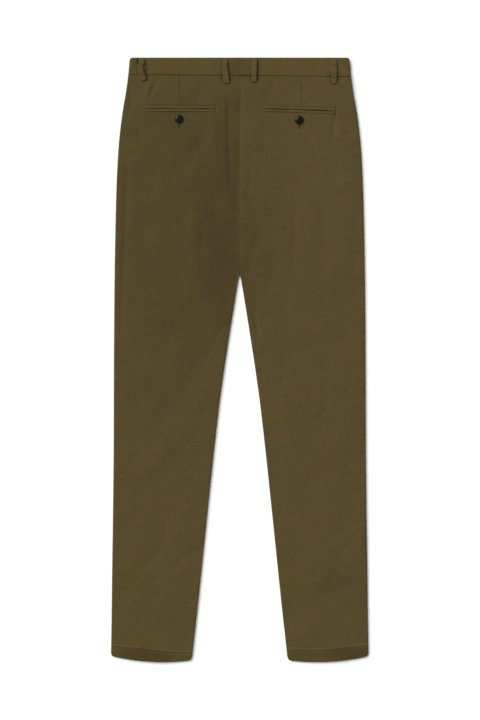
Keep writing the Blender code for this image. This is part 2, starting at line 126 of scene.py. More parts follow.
# height is + for a ridge and - for a trough; lean is + where the side towards +X is steeper.
BACK_CREASES = table(Crease,
    # along the centre back seam
    (-0.5, 34, -1.5, 200, -2, 380, 8, -1.8, 0.30),
    (-20, 66, -20.5, 150, -16, 262, 6.4, -1.9, -0.4),
    (-45, 215, -20, 330, -8, 420, 24, -2.2, 0.3),
    (-60, 80, -40, 200, -30, 330, 16, 1, 0.0),
    (17, 200, 20.5, 224, 16, 250, 4, -1, 0.0),
    (30, 310, 27, 350, 15, 395, 8, -0.6, 0.1),
    (38, 250, 33, 290, 24, 330, 9, 0.4, 0.0),
    # round the left pocket
    (-149, 37, -156, 54, -164, 78, 3.2, -1.2, 0.3),
    (-156, 40, -166, 56, -173, 80, 5, 0.6, 0.0),
    (-65.5, 118, -74, 160, -116.5, 212, 15, -1.2, 0.2),
    (-43, 112, -47, 140, -60, 170, 7, 0.4, 0.0),
    (-180, 115, -182, 136, -179, 160, 6, -0.8, 0.0),
    (-95, 50, -84, 55, -72, 66, 7, 0.6, 0.0),
    (-80, 66, -77, 78, -74, 88, 5, -0.6, 0.0),
    (-195, 45, -196, 70, -201, 105, 6, -0.8, 0.1),
    # beside the left side seam
    (-204, 178, -209, 300, -214.5, 455, 5.5, -1.5, -0.3),
    (-214.5, 430, -216.5, 470, -217, 530, 4.5, -0.7, -0.2),
    # round the right pocket
    (176, 90, 173, 118, 167, 160, 3, -1, 0.2),
    (183, 120, 188, 148, 195, 172, 8, 1.2, 0.0),
    (148, 190, 172, 234, 214, 208, 9, 1.2, 0.0),
    (44, 125, 44, 150, 40, 185, 10, -1, 0.0),
    (68, 46, 58, 60, 48, 78, 9, -0.9, 0.0),
    (90, 68, 98, 74, 105, 84, 6, -0.6, 0.0),
    (125, 64, 145, 72, 156, 70, 6, 0.6, 0.0),
    # the seat
    (96, 270, 101, 320, 96, 376, 7, -0.8, 0.0),
    (150, 250, 158, 330, 146, 400, 15, -1, 0.1),
    (-156, 190, -146, 270, -156, 360, 14, 1, 0.0),
    (-95, 240, -102, 320, -90, 400, 13, -1.1, 0.0),
    (-62, 290, -69, 345, -60, 400, 7, -0.8, 0.2),
    # the left leg
    (-24, 487, -33, 494, -45, 510, 4.2, -0.8, 0.0),
    (-49, 532, -57, 541, -67, 560, 4.8, -0.6, 0.0),
    (-54, 587, -122, 705, -208, 765, 20, 1.2, 0.1),
    (-70, 560, -118, 628, -152, 660, 19, -0.9, 0.0),
    (-227, 781, -195, 783, -158, 790, 4.2, -0.6, 0.0),
    (-142, 830, -140, 888, -180, 928, 8, -0.7, 0.1),
    (-68, 888, -104, 914, -142, 942, 6.5, -0.7, 0.1),
    (-85, 983, -91, 990, -100, 1001, 4.6, -0.5, 0.0),
    (-185, 985, -150, 1012, -125, 1034, 12, 0.4, 0.0),
    (-195, 550, -187, 600, -197, 660, 11, -0.6, 0.0),
    # the right leg
    (21.5, 462, 28.5, 484, 35, 508, 4.4, -2.2, -0.4),
    (48, 435, 57, 470, 66, 500, 12, 0.6, 0.0),
    (95, 605, 84, 662, 135, 708, 18, 1.2, 0.0),
    (53, 674, 59, 680, 66, 688, 4.5, -0.8, 0.0),
    (225, 791, 212, 792, 196, 797, 4, -0.7, 0.0),
    (138, 978, 188, 964, 229, 961, 16, -1.3, 0.0),
    (217, 805, 221, 870, 219, 935, 9, 0.6, 0.0),
    (87, 1030, 93.5, 1050, 102, 1068, 3.4, -0.9, 0.3),
    (175, 410, 191, 470, 183, 530, 12, -0.6, 0.0),
    (150, 550, 159, 600, 151, 660, 10, -0.5, 0.0), plain=1)
FRONT_CREASES = table(Crease,   # all troughs, so that the under side stays off the surface
    (-30, 230, -60, 300, -120, 350, 12, -0.7, 0.1),
    (-20, 400, -60, 430, -115, 440, 9, -0.8, 0.0),
    (-180, 260, -160, 330, -170, 410, 11, -0.5, 0.0),
    (-60, 620, -120, 660, -190, 670, 10, -0.8, 0.1),
    (-200, 730, -150, 745, -90, 735, 8, -0.6, 0.0),
    (-120, 850, -150, 890, -195, 910, 8, -0.6, 0.0),
    (35, 250, 70, 310, 125, 345, 12, -0.6, 0.0),
    (25, 405, 70, 440, 125, 450, 9, -0.8, 0.1),
    (185, 300, 170, 360, 180, 430, 12, -0.5, 0.0),
    (70, 640, 130, 655, 190, 690, 10, -0.7, 0.0),
    (200, 750, 150, 760, 105, 780, 8, -0.6, 0.1),
    (120, 930, 160, 950, 200, 940, 9, -0.5, 0.0), plain=1)

Sewn = namedtuple("Sewn", "x drop to_x to_drop width depth lift")
# Grooves of seams; lift is + where the side towards +X or the hem is higher.
SEWN_LINES = table(Sewn,
    # the darts
    (-109.5, 32, -108, 78, 0.8, 0.5, -0.4),
    (111.5, 34, 112.5, 83, 0.8, 0.5, -0.4),
    # above the back pockets
    (-175.5, 87.3, -45, 88.1, 0.9, 0.7, 0),
    (43, 87.6, 174, 92, 0.9, 0.7, 0),
    # past them
    (-43.3, 96, -45.2, 107, 1.2, 0.7, 0),
    (-175.2, 72, -177.2, 84, 1.2, 0.6, 0),
    # at their ends
    (-45, 86.5, -44.6, 100, 0.9, 0.6, 0),
    (-176.2, 86.5, -176, 99, 0.9, 0.4, 0),
    (42.6, 86.2, 42.6, 98.5, 0.9, 0.6, 0),
    (174.2, 91, 174.2, 105, 0.9, 0.7, 0))
SEWN_MARGIN = 5 * MM        # the cloth is divided finely this far round a sewn line

Place = namedtuple("Place", "x drop")
HEM_EDGES = {               # the turned-up edge inside each hem, which shows as a fine ridge
    "left": table(
        Place, (-240, 1068.7), (-225.3, 1069.8), (-204.8, 1071.5), (-182.1, 1074.8),
        (-159.3, 1077.1), (-136.6, 1079.9), (-113.9, 1081.2), (-80, 1081.3)),
    "right": table(
        Place, (80, 1074), (111.8, 1075.4), (157.3, 1075.4), (173.3, 1074.3),
        (191.5, 1072), (214.2, 1069), (240, 1065.2)),
}
HEM_RIDGE = 0.50 * MM
HEM_RIDGE_WIDTH = 1.5 * MM
HEM_MARGIN = 4.5 * MM       # the cloth is divided finely this far from the edge
# light_line is where the painted highlight along a hem's ridge lies; dark_line and dark give where
# the painted shade beside it lies and how deep it is.
Hem = namedtuple("Hem", "groove light_line dark_line dark")
HEMS = {                    # the groove and the toned lines lie this far below the ridge
    "left": Hem(2.6 * MM, -1.3 * MM, 1.2 * MM, 0.02),
    "right": Hem(-2.8 * MM, -0.1 * MM, -2.2 * MM, 0.22),
}
# Painted highlight along the hems' ridges, then where the painted shade along the right hem is
# deepest and how far it reaches.
HEM_PAINTED_HIGHLIGHT = 0.24            # how much lighter the light line is
HEM_DARK_AT = 0.140         # x of the darkest part of the right hem's dark line, and its reach
HEM_DARK_REACH = 0.045
# Painted shade at the waist seam, where the waistband's edge shades the cloth.
WAIST_PAINTED_SHADE = 0.50           # how much darker the cloth is at the waist seam
WAIST_PAINTED_SHADE_DEPTH = 1.8 * MM

Mouth = namedtuple("Mouth", "x drop to_x to_drop gape_inner gape_outer")
MOUTHS = {                  # the pocket mouths, and how far their ends gape
    "left": Mouth(-0.1750, 0.0925, -0.0460, 0.0933, 0.45 * MM, 0.30 * MM),
    "right": Mouth(+0.0435, 0.0928, +0.1730, 0.0972, 0.55 * MM, 0.65 * MM),
}
MOUTH_CUT = 2.4 * MM        # half the height of the opening behind the welts
MOUTH_END = 0.02            # share of the mouth that stays closed at each end

LoopEdge = namedtuple("LoopEdge", "drop low high")
LOOP_EDGES = {              # x of both edges of a belt loop down its length, as it lies
    "belt_loop_side_left": table(
        LoopEdge, (1.2, -183.8, -172), (8.6, -182.7, -173.1),
        (17.1, -185.3, -176.2), (24, -184, -174.6),
        (30.4, -182.9, -171.6), (35.9, -180.6, -170.3),
        (41.2, -178.2, -170.2)),
    "belt_loop_back_left": table(
        LoopEdge, (1.2, -30.5, -20.9), (16, -31, -22.4),
        (30.4, -30.4, -20), (38, -30.1, -19.2),
        (46.5, -28.2, -18.1)),
    "belt_loop_back_right": table(
        LoopEdge, (1.2, 22, 31.7), (23, 21.9, 31.6),
        (30.4, 22.4, 31), (44, 22, 30.9)),
    "belt_loop_side_right": table(
        LoopEdge, (1.2, 165, 177.3), (12.2, 166.2, 176.9),
        (30.4, 167.1, 177.3), (39.5, 167.8, 176.9),
        (47.5, 168.3, 176.4)),
}
LOOP_LENGTH = 45 * MM
LoopTurn = namedtuple("LoopTurn", "roll_top roll_low wave")
LOOP_TURNS = {              # how each belt loop is turned, in degrees, and waves, in metres
    "belt_loop_side_left": LoopTurn(-18, 10, 0.0010),
    "belt_loop_back_left": LoopTurn(-8, 11, 0.0005),
    "belt_loop_back_right": LoopTurn(6, 9, 0.0004),
    "belt_loop_side_right": LoopTurn(-6, 8, 0.0007),
    "belt_loop_front_left": LoopTurn(0, 0, 0.0),
    "belt_loop_front_right": LoopTurn(0, 0, 0.0),
}

FLY_STITCH_X = 0.034
FLY_STITCH_END = 0.185
FLY_BEND_WIDTH = 0.026
FLY_BEND_HEIGHT = 0.030
STITCH_LENGTH = 2.4 * MM
STITCH_PITCH = 3.0 * MM
STITCH_RADIUS = 0.16 * MM

BUTTONHOLE_WIDTH = 2.4 * MM
BUTTONHOLE_TOP = 3.5 * MM   # above the button's centre
BUTTONHOLE_LOW = 14.9 * MM  # below it
PURL_PITCH = 0.42 * MM

# ---------------------------------------------------------------- the photograph's framing
PHOTO_SCALE = 1.82 * MM     # a pixel of the photograph
PHOTO_HEIGHT = 720 * PHOTO_SCALE
PHOTO_CENTRE = (0.7 * MM, -0.1 * MM)
CAMERA_HEIGHT = 12.0
SENSOR = 36.0


# ---------------------------------------------------------------- settings
def linear(red, green, blue):
    """A colour given by its screen values, 0 to 255, as the linear values that shaders use."""
    shares = [value / 255 for value in (red, green, blue)]
    return tuple(s / 12.92 if s <= 0.04045 else ((s + 0.055) / 1.055) ** 2.4 for s in shares)


def colour_property(name, description, default):
    return bpy.props.FloatVectorProperty(
        name=name, description=description, default=default, subtype="COLOR", size=3, min=0, max=1)


class ClothSettings(bpy.types.PropertyGroup):
    """Sizes and colours of the cloth."""
    cloth: colour_property("Cloth", "Colour of the cloth", linear(75.6, 64.6, 34.0))
    slub_depth: bpy.props.FloatProperty(
        name="Slubs", description="How far the thicker threads differ from the others",
        default=0.11, min=0, max=1, subtype="FACTOR")
    speck_depth: bpy.props.FloatProperty(
        name="Specks", description="How far the short thick places of the threads differ",
        default=0.23, min=0, max=1, subtype="FACTOR")
    thread_pitch: bpy.props.FloatProperty(
        name="Thread pitch", description="Distance between two threads of the weave",
        default=0.55 * MM, min=0.1 * MM, max=2 * MM, unit="LENGTH")
    crease_share: bpy.props.FloatProperty(
        name="Creases", description="Height of the creases, as a share of their own",
        default=1.0, min=0, max=2, subtype="FACTOR")


class TrimSettings(bpy.types.PropertyGroup):
    """Sizes and colours of the buttons and threads."""
    horn: colour_property("Horn", "Dark colour of the buttons", linear(14, 9, 8))
    horn_streak: colour_property(
        "Horn streak", "Lighter colour in the buttons", linear(34, 24, 18))
    thread: colour_property("Thread", "Colour of the buttonhole thread", linear(46, 29, 12))
    button_thread: colour_property(
        "Button thread", "Colour of the thread in the buttons", linear(30, 22, 17))
    seam_thread: colour_property("Seam thread", "Colour of the topstitching", linear(84, 73, 45))
    hole_radius: bpy.props.FloatProperty(
        name="Button holes", description="Radius of the holes in a button",
        default=0.85 * MM, min=0.3 * MM, max=2 * MM, unit="LENGTH")


class StageSettings(bpy.types.PropertyGroup):
    """The light and the floor."""
    floor: colour_property("Floor", "Colour of the floor", (0.95, 0.95, 0.95))
    sun: bpy.props.FloatProperty(
        name="Key light", description="Strength of the key light", default=4.15, min=0)
    sky: bpy.props.FloatProperty(
        name="Fill light", description="Strength of the light from all round", default=0.38, min=0)
    elevation: bpy.props.FloatProperty(
        name="Key elevation", description="Height of the key light above the floor",
        default=math.radians(39), subtype="ANGLE")
    azimuth: bpy.props.FloatProperty(
        name="Key azimuth", description="Where the key light comes from, turned from +X",
        default=math.radians(140), subtype="ANGLE")
    softness: bpy.props.FloatProperty(
        name="Key softness", description="Angle that the key light fills",
        default=math.radians(64), subtype="ANGLE")


# ---------------------------------------------------------------- materials
class Wire:
    """A socket in a material. Sums on it add Math nodes."""

    def __init__(self, tree, socket=None):
        self.tree = tree
        self.socket = socket

    def node(self, kind, settings=None, sockets=None, output=0):
        """Adds any other node: its settings first, then the values or links of its sockets."""
        made = self.tree.nodes.new(kind)
        for name, value in (settings or {}).items():
            setattr(made, name, value)
        for name, value in (sockets or {}).items():
            if isinstance(value, Wire):
                self.tree.links.new(value.socket, made.inputs[name])
            else:
                made.inputs[name].default_value = value
        return Wire(self.tree, made.outputs[output])

    def sum(self, operation, *values):
        return self.node("ShaderNodeMath", {"operation": operation}, dict(enumerate(values)))

    def __add__(self, other):
        return self.sum("ADD", self, other)

    __radd__ = __add__

    def __sub__(self, other):
        return self.sum("SUBTRACT", self, other)

    def __rsub__(self, other):
        return self.sum("SUBTRACT", other, self)

    def __mul__(self, other):
        return self.sum("MULTIPLY", self, other)

    __rmul__ = __mul__

    def __truediv__(self, other):
        return self.sum("DIVIDE", self, other)

    def step(self, low, high):
        """0 below low, 1 above high and smooth between them."""
        return self.node("ShaderNodeMapRange", {"interpolation_type": "SMOOTHSTEP"},
                         {"Value": self, "From Min": low, "From Max": high})

    def noise(self, place, scale, detail, **more):
        return self.node("ShaderNodeTexNoise", None,
                         {"Vector": place, "Scale": scale, "Detail": detail, **more})

    def bump(self, height, strength, distance, **more):
        return self.node("ShaderNodeBump", None,
                         {"Height": height, "Strength": strength, "Distance": distance, **more})

    def mix(self, share, first, second):
        """A colour from the first to the second."""
        return self.node("ShaderNodeMix", {"data_type": "RGBA"},
                         {0: share, 6: first, 7: second}, output=2)

    def scaled(self, factor):
        """This colour or vector, times a number."""
        return self.node("ShaderNodeVectorMath", {"operation": "SCALE"},
                         {"Vector": self, "Scale": factor})


def new_material(name):
    """A material, its Principled shader, and a wire to build its nodes with."""
    material = bpy.data.materials.new(name)
    material.use_nodes = True
    shader = material.node_tree.nodes["Principled BSDF"]
    return material, shader, Wire(material.node_tree)


def connect(wire, shader, **sockets):
    for name, value in sockets.items():
        wire.tree.links.new(value.socket, shader.inputs[name.replace("_", " ")])


def stretched_noise(wire, across, along, size_across, size_along, seed):
    """Noise drawn out along the threads, from 0 to 1."""
    place = wire.node("ShaderNodeCombineXYZ", None, {
        "X": across / size_across, "Y": along / size_along, "Z": seed})
    return wire.noise(place, 1.0, 1.0)


def spot(x, y, at_x, at_drop, radius_x, radius_y):
    """1 in the middle of an oval place of the garment, falling to 0 at its edge."""
    u = (x - at_x) / radius_x
    v = (y - (TOP_Y - at_drop)) / radius_y
    return 1 - (u * u + v * v).step(0.05, 1.0)


Shade = namedtuple("Shade", "x drop radius_x radius_y depth")
# Painted shade (+) and painted light (-): soft ovals that stand in for the shading the cloth's
# shallow form gets, such as the fall of the hems and the darker seat beside the centre seam.
SHADES = table(Shade,                  # where the cloth is a little darker (+) or lighter (-)
    (-85, 270, 210, 330, 0.13),
    (-34, 310, 70, 260, 0.10),
    (20, 200, 30, 140, -0.045),
    (-125, 50, 160, 60, -0.04),
    (120, 150, 160, 220, -0.03),
    (-135, 560, 140, 200, 0.06),
    (0, 18, 24, 24, 0.16),
    (-20, 400, 50, 120, 0.06),
    (30, 395, 50, 90, 0.04),
    (-172, 1090, 70, 22, 0.26),
    (200, 1087, 60, 21, 0.24),
    (120, 1090, 60, 18, 0.10),
    (190, 970, 70, 35, 0.08), plain=1)


# Painted shadow: the cloth is painted darker beside and below each belt loop, where the loop shades
# it.
PAINTED_LOOP_SHADOWS = table(Shade,                # the cloth is darker where a belt loop stands over it
    (-185.2, 6.2, 3.6, 8.5, 0.61),
    (-191.5, 11, 8, 15, 0.15),
    (-187, 24, 3.6, 12, 0.17),
    (-171.2, 11, 3, 8, 0.30),
    (-171.2, 25, 3.6, 13, 0.47),
    (-169, 37.5, 3.4, 7, 0.47),
    (-174.2, 42.1, 6.2, 2.4, 0.53),
    (-33.5, 16, 3.6, 24, 0.20),
    (-32.5, 37, 4, 12, 0.30),
    (-20, 23, 3.4, 17, 0.38),
    (-17.8, 40, 3, 8, 0.42),
    (-23.2, 47.2, 6.8, 2.5, 0.55),
    (19.6, 15, 3.4, 22, 0.12),
    (19.6, 35, 4, 11, 0.26),
    (32.8, 20, 3, 30, 0.42),
    (32.2, 40, 3, 8, 0.38),
    (26.6, 44.8, 6.2, 2.4, 0.53),
    (165, 37, 3.4, 15, 0.32),
    (178.6, 35, 3.2, 16, 0.27),
    (172.4, 48.2, 5.8, 2.4, 0.53), plain=1)


def cloth_material(name, settings, grain, seed, brightness=1.0, shades=(), shaded_above=None):
    """Plain woven cloth with slubs both ways; grain is the turn of its warp from +Y.

    On a piece that goes round to the under side, the painted shades stay above a height."""
    material, shader, wire = new_material(name)
    place = wire.node("ShaderNodeTexCoord", output="Object")
    flat = wire.node("ShaderNodeSeparateXYZ", None, {0: place})
    x, y, z = [Wire(wire.tree, output) for output in flat.socket.node.outputs]
    seen = 1.0 if shaded_above is None else z.step(shaded_above - 1 * MM, shaded_above)
    turned = wire.node("ShaderNodeMapping", None, {"Vector": place, "Rotation": (0, 0, -grain)})
    threads = wire.node("ShaderNodeSeparateXYZ", None, {0: turned})
    across, along = threads, Wire(wire.tree, threads.socket.node.outputs[1])

    warp = stretched_noise(wire, across, along, 0.9 * MM, 26 * MM, seed)
    weft = stretched_noise(wire, across, along, 24 * MM, 0.9 * MM, seed + 7.3)
    thick_warp = stretched_noise(wire, across, along, 1.7 * MM, 12 * MM, seed + 2.1)
    thick_weft = stretched_noise(wire, across, along, 11 * MM, 1.7 * MM, seed + 4.7)
    mottle = wire.noise(place, 60.0, 3.0)
    cloud = wire.noise(place, 9.0, 2.0)

    slubs = (warp - 0.5) + (weft - 0.5)
    specks = sum((n.step(0.64, 0.76) - (1 - n.step(0.25, 0.37))) for n in (thick_warp, thick_weft))
    light = 1.0 + slubs * settings.slub_depth + specks * settings.speck_depth
    light = light + (mottle - 0.5) * 0.20 + (cloud - 0.5) * 0.10
    # Painted highlight and painted shade along the hems and at the waist seam, from the panel's
    # attribute.
    light = light * (1 + wire.node("ShaderNodeAttribute", {"attribute_name": PAINTED_TONE_ATTRIBUTE}, output=2))
    # Painted shade and painted light of the shades tables, the belt loops' painted shadows among
    # them.
    for shade in shades:
        light = light * (1 - spot(x, y, shade.x, shade.drop, shade.radius_x, shade.radius_y)
                         * seen * shade.depth)
    tone = [channel * brightness for channel in settings.cloth] + [1]
    warmer = [tone[0] * 1.03, tone[1] * 0.99, tone[2] * 0.95, 1]
    base = wire.mix(mottle.step(0.42, 0.62), tone, warmer).scaled(light)

    pitch = settings.thread_pitch
    warp_turn = (across + (warp - 0.5) * 0.3 * pitch) * (math.pi / pitch)
    weft_turn = (along + (weft - 0.5) * 0.3 * pitch) * (math.pi / pitch)
    warp_wave, weft_wave = wire.sum("COSINE", warp_turn), wire.sum("COSINE", weft_turn)
    over = warp_wave * weft_wave * 0.5
    weave = wire.sum("MAXIMUM", warp_wave * warp_wave * (0.5 + over),
                     weft_wave * weft_wave * (0.5 - over))
    height = weave * 0.6 + slubs * 0.7 + specks * 0.3
    rumpled = wire.bump(wire.noise(place, 95.0, 3.0, Distortion=0.6), 0.6, 0.9 * MM)
    bump = wire.bump(height, 0.55, 0.18 * MM, Normal=rumpled)
    connect(wire, shader, Base_Color=base, Roughness=0.84 + (mottle - 0.5) * 0.12, Normal=bump)
    shader.inputs["Specular IOR Level"].default_value = 0.12
    shader.inputs["Sheen Weight"].default_value = 0.07
    shader.inputs["Sheen Roughness"].default_value = 0.55
    shader.inputs["Sheen Tint"].default_value = (0.80, 0.72, 0.48, 1)
    return material


def horn_material(name, settings):
    material, shader, wire = new_material(name)
    place = wire.node("ShaderNodeTexCoord", output="Object")
    grown = wire.node("ShaderNodeMapping", None, {
        "Vector": place, "Rotation": (0, 0, 0.6), "Scale": (1.0, 3.2, 1.0)})
    streaks = wire.noise(grown, 170.0, 4.0, Distortion=0.8)
    colour = wire.mix(streaks.step(0.46, 0.72), [*settings.horn, 1], [*settings.horn_streak, 1])
    bump = wire.bump(wire.noise(place, 900.0, 2.0), 0.12, 0.05 * MM)
    connect(wire, shader, Base_Color=colour, Roughness=0.22 + (streaks - 0.5) * 0.12, Normal=bump)
    shader.inputs["Specular IOR Level"].default_value = 0.17
    return material


def thread_material(name, colour):
    material, shader, wire = new_material(name)
    place = wire.node("ShaderNodeTexCoord", output="Object")
    fibres = wire.noise(place, 1600.0, 2.0)
    bump = wire.bump(fibres, 0.5, 0.06 * MM)
    tone = wire.mix(fibres, [c * 0.8 for c in colour] + [1], [c * 1.25 for c in colour] + [1])
    connect(wire, shader, Base_Color=tone, Roughness=0.62 + fibres * 0.15, Normal=bump)
    shader.inputs["Specular IOR Level"].default_value = 0.15
    return material


# ---------------------------------------------------------------- helpers
def smooth(low, high, value):
    """0 below low, 1 above high and smooth between them, for numbers and arrays."""
    t = np.clip((np.asarray(value, float) - low) / (high - low), 0, 1)
    return t * t * (3 - 2 * t)


def drop_of(y):
    return TOP_Y - y


class Surface:
    """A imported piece, felt with upright rays: how high it is, and how far it reaches in plan."""

    def __init__(self, node):
        mesh = frame["nodes"][node].data
        self.low, self.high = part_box(node)
        self.tree = BVHTree.FromPolygons([v.co for v in mesh.vertices],
                                         [p.vertices for p in mesh.polygons])

    def height(self, x, y, facing=UP):
        """Height of the face seen from above or from below, or None beyond the piece."""
        for nudge_x, nudge_y in NUDGES:
            start = Vector((x + nudge_x, y + nudge_y, facing))
            place = self.tree.ray_cast(start, Vector((0, 0, -facing)))[0]
            if place is not None:
                return place.z
        return None

    def reach(self, x, y, run_x, run_y, far, facing=UP):
        """How far the piece goes on from a place on it, in a direction."""
        near = 0.0
        for _ in range(20):
            middle = (near + far) / 2
            if self.height(x + run_x * middle, y + run_y * middle, facing) is None:
                far = middle
            else:
                near = middle
        return near

    def end(self, x, y, run_x, run_y, far=1.5, facing=UP):
        """The place where the piece ends, from a place on it, in a direction."""
        length = self.reach(x, y, run_x, run_y, far, facing)
        return np.array((x + run_x * length, y + run_y * length))


def eased(place, places, values):
    """A value between those of a table, with an even start and stop at each of its places."""
    k = int(np.clip(np.searchsorted(places, place), 1, len(places) - 1))
    share = float(smooth(places[k - 1], places[k], place))
    return values[k - 1] + (values[k] - values[k - 1]) * share


def face_outward(piece):
    """Turns the faces of a piece outward, all the same way."""
    select_only(piece)
    bpy.ops.object.mode_set(mode="EDIT")
    bpy.ops.mesh.select_all(action="SELECT")
    bpy.ops.mesh.normals_make_consistent(inside=False)
    bpy.ops.object.mode_set(mode="OBJECT")


def select_only(piece):
    """Makes a piece the only selected one and the active one."""
    if bpy.context.mode != "OBJECT":
        bpy.ops.object.mode_set(mode="OBJECT")
    bpy.ops.object.select_all(action="DESELECT")
    piece.select_set(True)
    bpy.context.view_layer.objects.active = piece


def apply_modifier(piece, kind, **settings):
    """Adds a modifier with these settings and applies it."""
    select_only(piece)
    modifier = piece.modifiers.new(kind.title(), kind)
    for name, value in settings.items():
        setattr(modifier, name, value)
    bpy.ops.object.modifier_apply(modifier=modifier.name)


def mesh_piece(name, points, faces):
    """A new object from points and faces, with its faces turned outward later by its maker."""
    mesh = bpy.data.meshes.new(name)
    mesh.from_pydata([tuple(p) for p in points], [], [tuple(f) for f in faces])
    mesh.validate()
    piece = bpy.data.objects.new(name, mesh)
    bpy.context.scene.collection.objects.link(piece)
    return piece


def dress(piece, material, slot_name, *nodes):
    """Gives a finished piece its material and its place in the frame."""
    piece.data.materials.clear()
    piece.data.materials.append(material)
    select_only(piece)
    bpy.ops.object.shade_smooth_by_angle(angle=math.radians(60))
    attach(piece, BODY)
    if nodes:
        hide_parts(*nodes)


def grid_faces(rows, columns, closed=False):
    """Faces of a grid of points, row after row; closed joins the last column to the first."""
    faces = []
    for r in range(rows - 1):
        for c in range(columns if closed else columns - 1):
            after = (c + 1) % columns
            faces.append((r * columns + c, r * columns + after,
                          (r + 1) * columns + after, (r + 1) * columns + c))
    return faces


def blurred(field, rounds_across, rounds_along):
    """A grid of heights, each round of blurring mixing a point with its two neighbours."""
    for axis, rounds in ((1, rounds_across), (0, rounds_along)):
        for _ in range(rounds):
            padded = np.pad(field, [(1, 1) if a == axis else (0, 0) for a in (0, 1)], mode="edge")
            before = padded[:, :-2] if axis else padded[:-2, :]
            after = padded[:, 2:] if axis else padded[2:, :]
            field = field / 2 + (before + after) / 4
    return field


# ---------------------------------------------------------------- creases
def crease_line(crease, count=14):
    """Points along a crease's bent line."""
    t = np.linspace(0, 1, count)[:, None]
    start = np.array((crease.x, crease.drop))
    middle = np.array((crease.mid_x, crease.mid_drop))
    end = np.array((crease.to_x, crease.to_drop))
    control = 2 * middle - (start + end) / 2
    return (1 - t) ** 2 * start + 2 * t * (1 - t) * control + t ** 2 * end


def crease_heights(creases, x, drop):
    """The sum of the creases' heights at many places."""
    total = np.zeros(len(x))
    for crease in creases:
        line = crease_line(crease)
        margin = 4 * crease.half_width
        low, high = line.min(0) - margin, line.max(0) + margin
        near = np.nonzero((x > low[0]) & (x < high[0]) & (drop > low[1]) & (drop < high[1]))[0]
        if not len(near):
            continue
        here = np.stack((x[near], drop[near]), 1)
        best = np.full(len(near), np.inf)
        side = np.zeros(len(near))
        share = np.zeros(len(near))
        for k, (start, end) in enumerate(zip(line, line[1:])):
            run = end - start
            along = np.clip(((here - start) @ run) / (run @ run), 0, 1)
            away = here - start - along[:, None] * run
            distance = np.hypot(away[:, 0], away[:, 1])
            closer = distance < best
            best[closer] = distance[closer]
            side[closer] = np.sign(away[closer, 0] + 1e-9)
            share[closer] = (k + along[closer]) / (len(line) - 1)
        width = crease.half_width * (1 - crease.lean * side)
        taper = np.clip(1 - np.abs(2 * share - 1) ** 3, 0, 1) * 0.85 + 0.15
        total[near] += crease.height * taper * bell(best, width)
    return total


def ripple_heights(x, drop, seed):
    """Slight unevenness of the cloth, all over."""
    rng = np.random.RandomState(seed)
    total = np.zeros(len(x))
    for _ in range(26):
        length = rng.uniform(24, 95) * MM
        turn = rng.uniform(0, math.pi)
        phase = rng.uniform(0, 2 * math.pi)
        wave = (x * math.cos(turn) + drop * math.sin(turn)) * 2 * math.pi / length + phase
        total += np.sin(wave) * 0.0011 * length
    return total


def sewn_place(line, x, drop):
    """(distance to the side, share along) of places by a line between two, and its length."""
    run = np.array((line.to_x - line.x, line.to_drop - line.drop))
    length = np.hypot(*run)
    away_x, away_drop = x - line.x, drop - line.drop
    along = (away_x * run[0] + away_drop * run[1]) / length ** 2
    aside = (away_x * run[1] - away_drop * run[0]) / length
    return aside, along, length


def by_hem(x, column):
    """A column of HEMS for each of many places."""
    return np.where(x < 0, getattr(HEMS["left"], column), getattr(HEMS["right"], column))


def bell(distance, width):
    """1 at a distance of 0, falling off on both sides within about a width."""
    return np.exp(-(distance / width) ** 2)


def below_hem_edge(x, drop):
    """How far places lie below the turned-up edge inside the hem."""
    edge = np.zeros(len(x))
    for places in HEM_EDGES.values():
        here = (x > 0) == (places[0].x > 0)
        edge[here] = np.interp(x[here], [p.x for p in places], [p.drop for p in places])
    return drop - edge


def hem_heights(x, drop):
    """The fine ridge over the hem's turned-up edge, and the groove beside it."""
    below = below_hem_edge(x, drop)
    uneven = 0.75 + 0.25 * np.sin(x * 140) * np.sin(x * 57 + 1)
    ridge = bell(below, HEM_RIDGE_WIDTH)
    groove = bell(below - by_hem(x, "groove"), 0.7 * HEM_RIDGE_WIDTH)
    return HEM_RIDGE * uneven * (ridge - 0.6 * groove)


def sewn_heights(x, drop):
    """The groove of each sewn line, and the cloth that stands higher on one side of it."""
    total = np.zeros(len(x))
    for line in SEWN_LINES:
        aside, along, length = sewn_place(line, x, drop)
        beyond = np.maximum(np.maximum(-along, along - 1) * length, 0)
        fade = 1 - smooth(0, 3 * MM, beyond)
        groove = line.depth * bell(aside, line.width)
        raised = smooth(0, 0.7 * MM, aside * np.sign(line.lift)) if line.lift else 0
        lift = abs(line.lift) * raised * (1 - smooth(2 * MM, 8 * MM, np.abs(aside)))
        total += fade * (lift - groove)
    return total


# ---------------------------------------------------------------- leg panels
def spaced(length, spacing, fine_low=(), fine_high=()):
    """Shares from 0 to 1 along a length, with extra places near its two ends."""
    low, high = max(fine_low, default=0.0), max(fine_high, default=0.0)
    count = max(2, round((length - low - high) / spacing))
    middle = np.linspace(low, length - high, count + 1)
    places = list(fine_low) + list(middle) + [length - f for f in fine_high]
    return np.unique(np.round(np.array(places + [0.0, length]) / length, 6))


